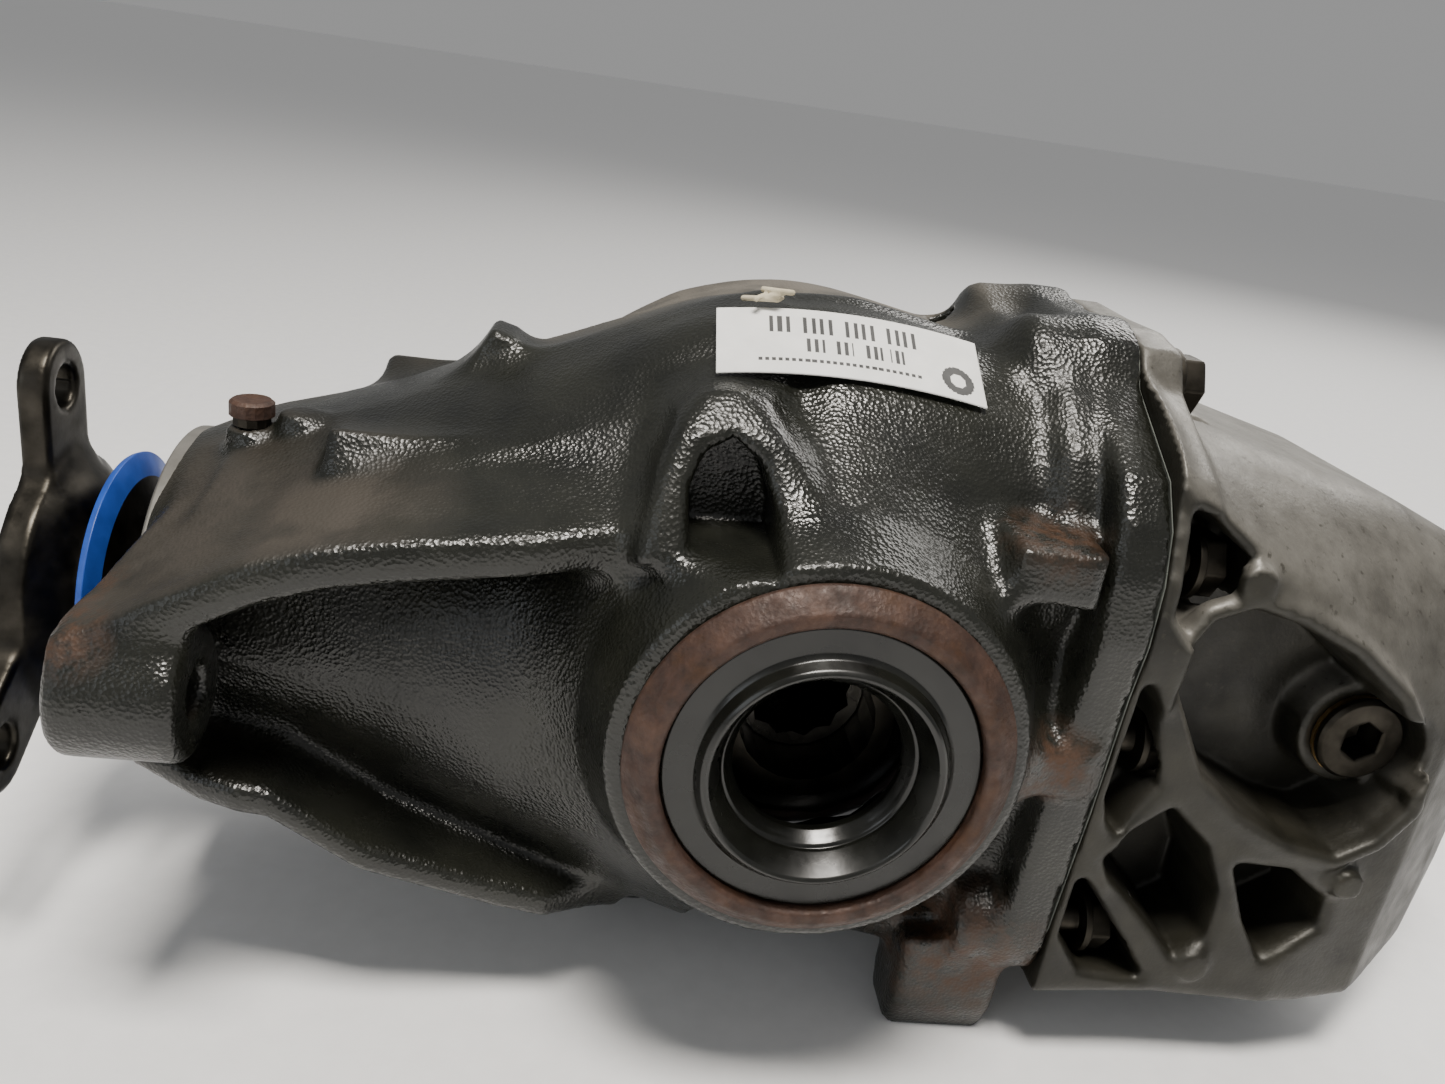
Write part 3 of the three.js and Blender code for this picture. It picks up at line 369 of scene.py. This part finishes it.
SIDE_TOP = [(80, 74), (90, 65), (107, 54), (131, 41), (154, 23), (170, 5), (185, -14), (210, -40), (236, -60)]
CROWN = [(80, 90), (92, 80), (111, 75), (138, 68), (167, 61), (190, 52), (214, 40), (228, 22), (236, 2)]
COVER_FLOOR = [(80, -84), (115, -82), (163, -85), (185, -84), (207, -76), (236, -58)]
BIG_POCKET = [(95, 17), (95, 28), (99, 36), (108, 40), (121, 37), (138, 30), (155, 18), (167, 2), (169, -13),
              (163, -23), (154, -29), (140, -26), (123, -18), (109, -7)]
POCKETS = [
    ([(86, 63), (90, 62), (102, 53), (103, 45), (91, 34), (86, 40)], INNER_WALL),
    ([(84, 18), (88, 12), (96, -12), (88, -27), (84, -15)], 62),
    ([(104, -21), (117, -32), (124, -46), (125, -61), (118, -66), (92, -40), (89, -34)], INNER_WALL),
    ([(84, -44), (87, -47), (109, -75), (92, -73), (84, -62)], INNER_WALL),
    ([(129, -37), (144, -38), (158, -48), (159, -56), (145, -66), (137, -54)], INNER_WALL),
]
PINS = [(106, 48), (161, -39), (124, -70), (85, -30)]


def cover_outside(x, side, z):
    share = np.clip((side - 30) / 46, 0, 1) ** 2
    top = level(x, CROWN) * (1 - share) + level(x, SIDE_TOP) * share
    body = shared((z - top) * 0.8, (level(x, COVER_FLOOR) - z) * 0.95, 5)
    plan = polygon(x, side, [(60, -90), (60, 77), (80, 77), (150, 76), (180, 70), (205, 52), (228, 30),
                             (228, -90)])
    body = shared(body, plan, 5)
    plate = prism(side, z, x, FULL_RIM, 70, BOLT_SEAT, 2.5)
    lug = rod(np.hypot(side, z - LUG_Z), x, 22, 190, TAIL_END, 3)
    return blend(blend(body, plate, 4), lug, 12)


def cover_field(x, y, z):
    side = np.abs(y)
    radial = np.hypot(x, z)
    shape = cover_outside(x, side, z)
    draft = np.maximum(77 - side, 0) * 0.05
    egg = polygon(x, z, BIG_POCKET)
    for outline, depth in POCKETS:
        pocket = np.maximum(polygon(x, z, outline) - 1.5 + draft, depth - side)
        shape = carve(shape, pocket, 3.5)
    rolled = np.hypot(egg - 2.2, side - 74.5) - 3.4
    shape = blend(shape, rolled, 3)
    shape = carve(shape, np.maximum(egg - 0.5 + draft, INNER_WALL - side), 4)
    for across, up in PINS:
        shape = blend(shape, rod(np.hypot(x - across, z - up), side, 4.6, 56, 78, 1), 2.5)
    plug_radial = np.hypot(x - PLUG_X, z)
    shape = blend(shape, rod(plug_radial, y, 16, PLUG_FACE, -46, 1), 3)
    shape = carve(shape, rod(plug_radial, y, 13.8, -130, PLUG_FACE), 0.8)
    shape = carve(shape, rod(plug_radial, y, 9.3, -100, -36))
    for across, up in BOLTS:
        spot = np.hypot(side - across, z - up)
        shape = carve(shape, rod(spot, x, 10.8, BOLT_SEAT, 106, 1))
        shape = carve(shape, rod(spot, x, 5.3, 60, 94))
    for across, up in DOWELS:
        shape = carve(shape, rod(np.hypot(y - across, z - up), x, 4.3, 60, 87))
    shape = carve(shape, gear_room(y, radial))
    ceiling = level(x, CROWN) - 9 - 0.004 * y * y
    inside = np.maximum(np.maximum(z - ceiling, -74 + 0.12 * (x - 79) - z), np.maximum(side - 39, x - 158))
    shape = carve(shape, inside)
    shape = carve(shape, rod(np.hypot(side, z - LUG_Z), x, 7, 206, 250), 1)
    shape = np.maximum(shape, x - TAIL_END)
    return np.maximum(shape, COVER_FRONT - x)


def cover_piece(finish):
    low, high, step = (76, -89, -91), (240, 89, 103), 1.4
    x, y, z = samples(low, high, step)
    piece = meshed("rear_cover_casting", cover_field(x, y, z), low, step)
    return dressed(piece, "root", "cast_aluminium", finish, "rear_cover")


# ---------------------------------------------------------------- materials

def material(name, build):
    made = bpy.data.materials.new(name)
    made.use_nodes = True
    tree = made.node_tree
    shader = tree.nodes["Principled BSDF"]
    build(tree, shader)
    return made


def node(tree, kind, **inputs):
    made = tree.nodes.new(kind)
    for key, value in inputs.items():
        made.inputs[key.replace("_", " ")].default_value = value
    return made


def place(tree):
    return tree.nodes.new("ShaderNodeTexCoord").outputs["Object"]


def noise(tree, scale, detail=4.0, rough=0.55):
    made = node(tree, "ShaderNodeTexNoise", Scale=scale, Detail=detail, Roughness=rough)
    tree.links.new(place(tree), made.inputs["Vector"])
    return made.outputs["Fac"]


def cells(tree, scale):
    made = node(tree, "ShaderNodeTexVoronoi", Scale=scale)
    tree.links.new(place(tree), made.inputs["Vector"])
    return made.outputs["Distance"]


def ramp(tree, value, *stops):
    """A colour or grey ramp through (position, colour) stops."""
    made = tree.nodes.new("ShaderNodeValToRGB")
    bar = made.color_ramp.elements
    while len(bar) < len(stops):
        bar.new(0.5)
    for element, (at, colour) in zip(bar, stops):
        element.position = at
        element.color = (*colour, 1) if isinstance(colour, tuple) else (colour, colour, colour, 1)
    tree.links.new(value, made.inputs["Fac"])
    return made.outputs["Color"]


def mixed(tree, share, a, b):
    made = tree.nodes.new("ShaderNodeMix")
    made.data_type = "RGBA"
    for socket, value in (("A", a), ("B", b)):
        target = [s for s in made.inputs if s.name == socket and s.type == "RGBA"][0]
        if isinstance(value, tuple):
            target.default_value = (*value, 1)
        else:
            tree.links.new(value, target)
    tree.links.new(share, made.inputs[0])
    return [s for s in made.outputs if s.type == "RGBA"][0]


def maths(tree, operation, a, b=0.0):
    made = tree.nodes.new("ShaderNodeMath")
    made.operation = operation
    made.use_clamp = operation in ("ADD", "MULTIPLY")
    for socket, value in zip(made.inputs, (a, b)):
        if isinstance(value, (int, float)):
            socket.default_value = value
        else:
            tree.links.new(value, socket)
    return made.outputs[0]


def upward(tree):
    split = tree.nodes.new("ShaderNodeSeparateXYZ")
    tree.links.new(tree.nodes.new("ShaderNodeNewGeometry").outputs["Normal"], split.inputs[0])
    return split.outputs["Z"]


def near(tree, spots):
    """A mask that is 1 at each (x, y, z, reach) spot, in mm about the axle, and falls to 0 at its reach."""
    total = None
    for x, y, z, reach in spots:
        centre = [AXLE[k] + v * MM for k, v in enumerate((x, y, z))]
        gap = tree.nodes.new("ShaderNodeVectorMath")
        gap.operation = "DISTANCE"
        tree.links.new(place(tree), gap.inputs[0])
        gap.inputs[1].default_value = centre
        fall = node(tree, "ShaderNodeMapRange")
        fall.inputs["From Min"].default_value = reach * MM * 0.35
        fall.inputs["From Max"].default_value = reach * MM
        fall.inputs["To Min"].default_value = 1
        fall.inputs["To Max"].default_value = 0
        tree.links.new(gap.outputs["Value"], fall.inputs["Value"])
        total = fall.outputs[0] if total is None else maths(tree, "MAXIMUM", total, fall.outputs[0])
    return total


def bump(tree, shader, *layers):
    """Stacks (height, strength, distance in mm) bumps on a shader."""
    previous = None
    for height, strength, distance in layers:
        made = node(tree, "ShaderNodeBump", Strength=strength, Distance=distance * MM)
        tree.links.new(height, made.inputs["Height"])
        if previous:
            tree.links.new(previous, made.inputs["Normal"])
        previous = made.outputs["Normal"]
    tree.links.new(previous, shader.inputs["Normal"])


DUST = (0.040, 0.033, 0.025)
PALE_DUST = (0.115, 0.103, 0.085)
RUST = (0.062, 0.027, 0.011)


def iron_paint(tree, shader):
    """Oily black paint on sand-cast iron, dusty on the wing tops, rusty at the worn pads and edges."""
    base = ramp(tree, noise(tree, 35), (0.3, (0.0045, 0.005, 0.004)), (0.7, (0.015, 0.0155, 0.0115)))
    flat = ramp(tree, upward(tree), (0.6, 0.0), (0.95, 1.0))
    patchy = ramp(tree, noise(tree, 60, 6), (0.25, 0.3), (0.55, 1.0))
    wings = near(tree, [(-156, -50, 14, 58), (-156, 50, 14, 58), (-122, -62, 28, 40), (-122, 62, 28, 40)])
    dusty = maths(tree, "MULTIPLY", maths(tree, "MULTIPLY", flat, wings), patchy)
    strip = near(tree, [(-50, 34, 76, 46), (-10, 36, 88, 46), (30, 36, 82, 46)])
    pale = maths(tree, "MULTIPLY", maths(tree, "MULTIPLY", flat, strip), patchy)
    rusty = maths(tree, "MULTIPLY", near(tree, [
        (52, -76, 54, 15), (64, -82, -6, 15), (-174, -66, 8, 14), (-170, -84, 8, 12), (60, -66, -78, 30),
        (52, 76, 54, 15), (64, 82, -6, 15), (-174, 66, 8, 14), (60, 66, -78, 30), (22, -72, -62, 26)]),
        ramp(tree, noise(tree, 150, 8, 0.7), (0.4, 0.0), (0.6, 0.9)))
    colour = mixed(tree, dusty, base, DUST)
    colour = mixed(tree, pale, colour, PALE_DUST)
    colour = mixed(tree, rusty, colour, RUST)
    tree.links.new(colour, shader.inputs["Base Color"])
    wet = ramp(tree, noise(tree, 45, 5), (0.3, 0.2), (0.75, 0.36))
    dry = maths(tree, "MAXIMUM", maths(tree, "MAXIMUM", dusty, pale), rusty)
    tree.links.new(maths(tree, "ADD", wet, maths(tree, "MULTIPLY", dry, 0.42)), shader.inputs["Roughness"])
    bump(tree, shader, (noise(tree, 170, 4), 0.3, 0.7), (cells(tree, 980), 0.6, 0.3),
         (noise(tree, 1700, 2), 0.35, 0.15))


def cast_aluminium(tree, shader):
    """Weathered die casting: mottled warm grey painted light on its up-facing crown, olive-black painted shade on
    its sides.
    """
    split = tree.nodes.new("ShaderNodeSeparateXYZ")
    tree.links.new(place(tree), split.inputs[0])
    high = node(tree, "ShaderNodeMapRange")
    high.inputs["From Min"].default_value = AXLE.z - 25 * MM
    high.inputs["From Max"].default_value = AXLE.z + 10 * MM
    tree.links.new(split.outputs["Z"], high.inputs["Value"])
    # Painted light and shade: high, up-facing faces take the light mottled grey, all others the dark painted-shade
    # colour.
    lit = maths(tree, "MULTIPLY", ramp(tree, upward(tree), (0.12, 0.0), (0.6, 1.0)), high.outputs[0])
    mottled = ramp(tree, noise(tree, 70, 7, 0.65), (0.3, (0.075, 0.070, 0.060)), (0.7, (0.165, 0.157, 0.138)))
    painted_shade_sides = ramp(tree, noise(tree, 50, 6), (0.3, (0.009, 0.0085, 0.006)), (0.75, (0.028, 0.026, 0.018)))
    colour = mixed(tree, lit, painted_shade_sides, mottled)
    specks = ramp(tree, noise(tree, 420, 3), (0.62, 0.0), (0.72, 0.7))
    colour = mixed(tree, specks, colour, (0.03, 0.026, 0.018))
    tree.links.new(colour, shader.inputs["Base Color"])
    shader.inputs["Metallic"].default_value = 0.3
    tree.links.new(ramp(tree, noise(tree, 90, 5), (0.3, 0.36), (0.7, 0.56)), shader.inputs["Roughness"])
    bump(tree, shader, (noise(tree, 110, 4), 0.25, 0.8), (noise(tree, 900, 3), 0.35, 0.25))


def rusty_steel(tree, shader):
    """Purple-brown scale with patches of orange rust."""
    scale = ramp(tree, noise(tree, 130, 7, 0.7), (0.3, (0.017, 0.009, 0.006)), (0.5, (0.042, 0.021, 0.014)),
                 (0.72, (0.080, 0.042, 0.028)))
    orange = ramp(tree, noise(tree, 70, 6, 0.7), (0.5, 0.0), (0.68, 0.6))
    colour = mixed(tree, orange, scale, (0.066, 0.027, 0.008))
    tree.links.new(colour, shader.inputs["Base Color"])
    shader.inputs["Metallic"].default_value = 0.25
    tree.links.new(ramp(tree, noise(tree, 300, 4), (0.3, 0.4), (0.7, 0.75)), shader.inputs["Roughness"])
    bump(tree, shader, (noise(tree, 260, 6, 0.7), 0.6, 0.5), (cells(tree, 900), 0.4, 0.25))


def oily_rubber(tree, shader):
    colour = ramp(tree, noise(tree, 80, 5), (0.3, (0.003, 0.003, 0.0025)), (0.7, (0.009, 0.0095, 0.0075)))
    tree.links.new(colour, shader.inputs["Base Color"])
    tree.links.new(ramp(tree, noise(tree, 60, 4), (0.35, 0.14), (0.65, 0.36)), shader.inputs["Roughness"])
    bump(tree, shader, (noise(tree, 400, 4), 0.2, 0.15))


def metal(dark, light, rough_low, rough_high, metallic=1.0, grain=500):
    """A steel or bronze whose colour and gloss vary a little over it."""
    def build(tree, shader):
        colour = ramp(tree, noise(tree, 90, 6), (0.3, dark), (0.7, light))
        tree.links.new(colour, shader.inputs["Base Color"])
        shader.inputs["Metallic"].default_value = metallic
        gloss = ramp(tree, noise(tree, 140, 5), (0.3, rough_low), (0.7, rough_high))
        tree.links.new(gloss, shader.inputs["Roughness"])
        bump(tree, shader, (noise(tree, grain, 4), 0.25, 0.15))
    return build


def plain(dark, light, rough, grain, height):
    """A paper, plastic or fibre whose colour varies a little over it."""
    def build(tree, shader):
        colour = ramp(tree, noise(tree, 120, 5), (0.3, dark), (0.7, light))
        tree.links.new(colour, shader.inputs["Base Color"])
        gloss = ramp(tree, noise(tree, 80, 3), (0.3, rough - 0.08), (0.7, rough + 0.08))
        tree.links.new(gloss, shader.inputs["Roughness"])
        bump(tree, shader, (noise(tree, grain, 4), 0.3, height))
    return build


FINISHES = {
    "cast_iron_black": iron_paint,
    "cast_aluminium": cast_aluminium,
    "gasket_fibre": plain((0.05, 0.055, 0.05), (0.11, 0.12, 0.105), 0.8, 800, 0.1),
    "zinc_steel_dirty": metal((0.02, 0.018, 0.014), (0.07, 0.063, 0.052), 0.35, 0.6),
    "rusty_steel": rusty_steel,
    "bright_steel": metal((0.10, 0.095, 0.085), (0.21, 0.20, 0.18), 0.2, 0.38, grain=900),
    "bearing_steel": metal((0.42, 0.42, 0.42), (0.58, 0.58, 0.58), 0.12, 0.22, grain=1200),
    "dark_steel": metal((0.018, 0.017, 0.014), (0.055, 0.05, 0.042), 0.28, 0.5),
    "seal_rubber": oily_rubber,
    "bronze": metal((0.24, 0.15, 0.055), (0.38, 0.26, 0.10), 0.3, 0.5),
    "blue_plastic": plain((0.012, 0.05, 0.27), (0.022, 0.085, 0.42), 0.38, 300, 0.1),
    "white_paper": plain((0.72, 0.72, 0.70), (0.82, 0.82, 0.80), 0.65, 900, 0.04),
    "cotton_string": plain((0.42, 0.36, 0.24), (0.62, 0.56, 0.42), 0.9, 2500, 0.2),
}


# ---------------------------------------------------------------- lathed and small pieces

def turned_pieces(looks):
    for name, sign in SIDES.items():
        retainer = [(80.6, 33), (80.6, 41), (98.3, 41), (98.3, 46.5), (99.6, 46.5), (104.1, 41.8),
                    (RETAINER_CREST, 41), (RETAINER_CREST, 38.6), (103.6, SEAL_SEAT),
                    (84, SEAL_SEAT), (84, 33)]
        piece = lathe(f"retainer_ring_{name}", "y", [(sign * a, r) for a, r in retainer],
                      segments=180, radius=0.5)
        dressed(piece, "root", "rusty_steel", looks["rusty_steel"], f"bearing_retainer_{name}")
        seal = [(84.6, 30), (84.6, 37.5), (101.6, 37.5), (102, 37), (102, 31), (102.8, 29.8), (105.4, 28.6),
                (106.2, 27.6), (105.6, 26.6), (99.5, 23.4), (98.6, 23.4), (98.2, 22.6), (97, 21.8),
                (95, SEAL_LIP), (93, SEAL_LIP), (90.5, 23.5), (90.5, 30)]
        piece = lathe(f"output_seal_{name}", "y", [(sign * a, r) for a, r in seal], segments=180, radius=0.35)
        dressed(piece, "root", "seal_rubber", looks["seal_rubber"], f"shaft_seal_{name}")


def pinion_pieces(looks):
    at = (0, 0, PINION_Z)
    shield = [(-183.5, 21.1), (-186.5, 21.1), (-189, 30), (-191, 37.4), (-189, 38.2), (-187, 31)]
    piece = lathe("blue_dust_shield", "x", shield, at, 128, 0.4)
    dressed(piece, "pinion", "blue_plastic", looks["blue_plastic"], "dust_shield")
    # Painted shade: the shield's faces within 31 mm of the pinion axis take the dark steel finish.
    piece.data.materials.append(looks["dark_steel"])
    for face in piece.data.polygons:
        middle = face.center - AXLE
        if math.hypot(middle.y, middle.z - PINION_Z * MM) < 31 * MM:
            face.material_index = 1
    collar = [(-173.4, 40), (-173.4, 47), (-172.8, 47.6), (-167, 47.8), (-166.4, 47), (-166.4, 40)]
    piece = lathe("machined_nose_collar", "x", collar, at, 160, 0.3)
    dressed(piece, "root", "cast_iron_black", looks["machined_iron"])
    seal = [(-160, 31), (-160, 36), (-171, 36), (-171, 25), (-168.5, 22), (-166, 21.7),
            (-164, 24), (-164, 31)]
    piece = lathe("input_seal", "x", seal, at, 128, 0.4)
    dressed(piece, "root", "seal_rubber", looks["seal_rubber"], "pinion_seal")


def flange_piece(finish):
    """The three-armed input flange, as one smooth forging."""
    low, high, step = (-216, -75, -92), (-150, 75, 60), 1.0
    x, y, z = samples(low, high, step)
    up = z - PINION_Z
    radial = np.hypot(y, up)
    shape = revolve(x, radial, [(-213, -50), (-213, 36), (-205, 36), (-196, 25), (-187, 20.8), (-154, 20.8),
                                (-152.6, 18), (-152.6, -50)])
    for turn in range(3):
        angle = 2 * math.pi * turn / 3
        out = y * math.sin(angle) + up * math.cos(angle)
        across = y * math.cos(angle) - up * math.sin(angle)
        bar = [(-13, 0), (-13, FLANGE_CIRCLE), (13, FLANGE_CIRCLE), (13, 0)]
        arm = prism(across, out, x, bar, -213, -205, 1.5)
        tip = rod(np.hypot(across, out - FLANGE_CIRCLE), x, 13, -213, -205, 1.5)
        shape = blend(shape, np.minimum(arm, tip), 5)
    for turn in range(3):
        angle = 2 * math.pi * turn / 3
        hole = np.hypot(y - FLANGE_CIRCLE * math.sin(angle), up - FLANGE_CIRCLE * math.cos(angle))
        shape = carve(shape, rod(hole, x, 6, -230, -190), 0.8)
    shape = carve(shape, rod(radial, x, 18, -230, -210.5), 1)
    shape = carve(shape, rod(radial, x, 14.3, -230, -140))
    shape = np.maximum(shape, -213 - x)
    piece = meshed("flange_forging", shape, low, step)
    return dressed(piece, "pinion", "dark_steel", finish, "input_flange")


def bolt_piece(number, across, up, finish):
    """A hexagon bolt with a washer face, a chamfered head and a plain shank under it."""
    name = f"cover_bolt_{number}"
    def hexagon(angle, along, r):
        if along < BOLT_SEAT + 2.4 or r < 6:
            return 0
        corner = math.cos(math.pi / 6) / math.cos((angle % (math.pi / 3)) - math.pi / 6)
        return r * corner * (0.985 if along > 100.3 else 1.0) - r + 0.6
    profile = [(60, 0.1), (60, 4.2), (61, 4.4), (92.3, 4.4), (92.3, 9.5), (94.2, 9.5), (94.7, 8.6),
               (94.8, 8.1),
               (100.2, 8.1), (101, 7.2), (101, 3), (100.4, 2.4), (100.4, 0.1)]
    piece = lathe(f"{name}_head", "x", profile, (0, across, up), 72, 0.25, hexagon)
    return dressed(piece, "root", "zinc_steel_dirty", finish, name)


def plug_pieces(looks):
    at = (PLUG_X, 0, 0)
    def socket(angle, along, r):
        if r > 6.4 or along < PLUG_FACE - 4.6 or along > -54 + 0.5 or r < 1:
            return 0
        return r * math.cos(math.pi / 6) / math.cos((angle % (math.pi / 3)) - math.pi / 6) - r
    head = [(-42, 0.1), (-42, 8.6), (-43, 9), (-61.8, 9), (-61.8, 12.4), (-63.4, 12.4), (-64.5, 11.4),
            (-64.5, 6.4),
            (-63.9, 5.9), (-55, 5.9), (-54, 0.1)]
    piece = lathe("fill_plug_head", "y", head, at, 96, 0.3, socket)
    dressed(piece, "root", "zinc_steel_dirty", looks["zinc_steel_dirty"], "fill_plug")


def tag_height(x, y):
    """Height of the tag, which bows over the drum and leans down its left shoulder."""
    return 92.5 - x * x / 400 - 0.56 * max(0, TAG_Y[1] - y)


def label_piece(looks):
    """A stiff printed tag with plain bars and a plain ring in place of any print."""
    across, along = 207, 63
    (x0, x1), (y0, y1) = TAG_X, TAG_Y
    places, faces = [], []
    for layer in (0, 0.4):
        for i in range(across + 1):
            x = x0 + (x1 - x0) * i / across
            for j in range(along + 1):
                y = y0 + (y1 - y0) * j / along
                places.append([AXLE[k] + v * MM for k, v in enumerate((x, y, tag_height(x, y) + layer))])
    row, sheet = along + 1, (across + 1) * (along + 1)
    for i in range(across):
        for j in range(along):
            a = i * row + j
            faces.append((a, a + 1, a + row + 1, a + row))
            faces.append((sheet + a, sheet + a + row, sheet + a + row + 1, sheet + a + 1))
    edge = [i * row for i in range(across + 1)] + [across * row + j for j in range(1, row)]
    edge += [i * row + along for i in range(across - 1, -1, -1)] + list(range(along - 1, 0, -1))
    for a, b in zip(edge, edge[1:] + edge[:1]):
        faces.append((a, b, b + sheet, a + sheet))
    piece = mesh_object("printed_tag", places, faces)
    dressed(piece, "root", "white_paper", looks["white_paper"], "paper_label")
    piece.data.materials.append(looks["print"])
    for face in piece.data.polygons:
        x = (face.center.x - AXLE.x) / MM
        y = (face.center.y - AXLE.y) / MM
        if face.normal.z > 0.2 and printed(x - x0, y - y0):
            face.material_index = 1
    return piece


def printed(x, y):
    """Whether a spot of the tag is inked, in mm from its lower left corner."""
    if 13 < y < 18.5 and 12 < x < 54:
        return x % 11 < 7.6 and x % 2.2 < 1.1
    if 7 < y < 11.5 and 20 < x < 48:
        return x % 7.4 < 5.2 and x % 1.9 < 0.95
    if 3.6 < y < 4.6 and 10 < x < 52:
        return x % 1.7 < 1.1
    return 2.1 < math.hypot(x - 62, y - 6) < 4.3


def string_piece(finish):
    """A short cotton string knotted at the tag's upper edge, with two loose ends."""
    low, high, step = (-30, -36, 90), (-9, -22, 100), 0.25
    x, y, z = samples(low, high, step)
    loop = bead(x, y, z, [(-25, -26, 93), (-21, -31, 94.3), (-17, -31.5, 94.6), (-15.5, -28, 94.6),
                          (-18, -25.5, 95.4), (-20.5, -28.5, 96.3), (-17, -32, 96.8), (-13, -29, 96.4)], 0.75)
    turn = bead(x, y, z, [(-19.5, -31, 95), (-17, -32, 95.8), (-15.6, -30, 96.2), (-17.4, -28.4, 96),
                          (-19.6, -29.6, 95.2), (-22.5, -33, 94.4)], 0.75)
    piece = meshed("string_knot", blend(loop, turn, 0.4), low, step)
    return dressed(piece, "root", "cotton_string", finish, "label_tie")


def carried_over(looks, replaced):
    """CAD nodes whose shape is right keep it, and take the finish of their slot."""
    slots = {entry["node"]: entry["material_slot"] for entry in frame["record"]["subparts"]}
    for name, made in frame["nodes"].items():
        if name not in replaced:
            made.data.materials.clear()
            made.data.materials.append(looks[slots[name]])


# ---------------------------------------------------------------- stage

def stage_floor(finish):
    reach = 40
    corners = [(-reach, -reach, 0), (reach, -reach, 0), (reach, reach, 0), (-reach, reach, 0)]
    floor = mesh_object("floor", corners, [(0, 1, 2, 3)])
    floor.data.materials.append(finish)


def area_light(name, place_at, target, size, power, colour=(1, 1, 1)):
    lamp = bpy.data.lights.new(name, "AREA")
    lamp.shape = "RECTANGLE"
    lamp.size, lamp.size_y = size
    lamp.energy = power
    lamp.color = colour
    made = bpy.data.objects.new(name, lamp)
    made.location = place_at
    aim = Vector(target) - Vector(place_at)
    made.rotation_euler = aim.to_track_quat("-Z", "Y").to_euler()
    bpy.context.scene.collection.objects.link(made)


def lights():
    area_light("key", (-0.1, -0.45, 1.4), LIGHT_TARGET, (0.45, 0.3), KEY_POWER, (1, 0.95, 0.88))
    area_light("fill", (-1.5, -1.2, 0.8), LIGHT_TARGET, (1.0, 0.8), FILL_POWER, (0.9, 0.95, 1))
    area_light("rear", (1.2, 1.2, 1.3), LIGHT_TARGET, (1.2, 0.8), REAR_POWER, (1, 0.97, 0.92))
    world = bpy.data.worlds.new("studio")
    world.use_nodes = True
    world.node_tree.nodes["Background"].inputs["Color"].default_value = (1, 1, 1, 1)
    world.node_tree.nodes["Background"].inputs["Strength"].default_value = SKY_STRENGTH
    bpy.context.scene.world = world


def camera():
    made = bpy.data.objects.new("camera", bpy.data.cameras.new("camera"))
    made.data.lens = CAMERA_LENS
    made.data.sensor_width = SENSOR_WIDTH
    turn = Matrix((CAMERA_RIGHT, CAMERA_UP, -Vector(CAMERA_AHEAD))).transposed()
    made.matrix_world = Matrix.Translation(Vector(CAMERA_AT) * MM) @ turn.to_4x4()
    bpy.context.scene.collection.objects.link(made)
    bpy.context.scene.camera = made


# ---------------------------------------------------------------- assembly

camera()
lights()
looks = {slot: material(slot, build) for slot, build in FINISHES.items()}
machined = metal((0.15, 0.145, 0.13), (0.25, 0.24, 0.22), 0.4, 0.6, 0.6)
looks["machined_iron"] = material("machined_iron", machined)
looks["print"] = material("print", plain((0.03, 0.03, 0.03), (0.06, 0.06, 0.06), 0.6, 900, 0.02))
stage_floor(material("floor", plain((0.86, 0.86, 0.86), (0.9, 0.9, 0.9), 0.7, 40, 0.2)))
housing_piece(looks["cast_iron_black"])
cover_piece(looks["cast_aluminium"])
turned_pieces(looks)
pinion_pieces(looks)
flange_piece(looks["dark_steel"])
for number, (across, up) in enumerate(BOLTS + [(-y, z) for y, z in BOLTS], 1):
    bolt_piece(number, across, up, looks["zinc_steel_dirty"])
plug_pieces(looks)
label_piece(looks)
string_piece(looks["cotton_string"])
carried_over(looks, {"housing", "rear_cover", "input_flange", "dust_shield", "pinion_seal", "fill_plug",
                     "paper_label", "label_tie"}
             | {f"{kind}_{side}" for kind in ("bearing_retainer", "shaft_seal") for side in SIDES}
             | {f"cover_bolt_{i}" for i in range(1, 9)})
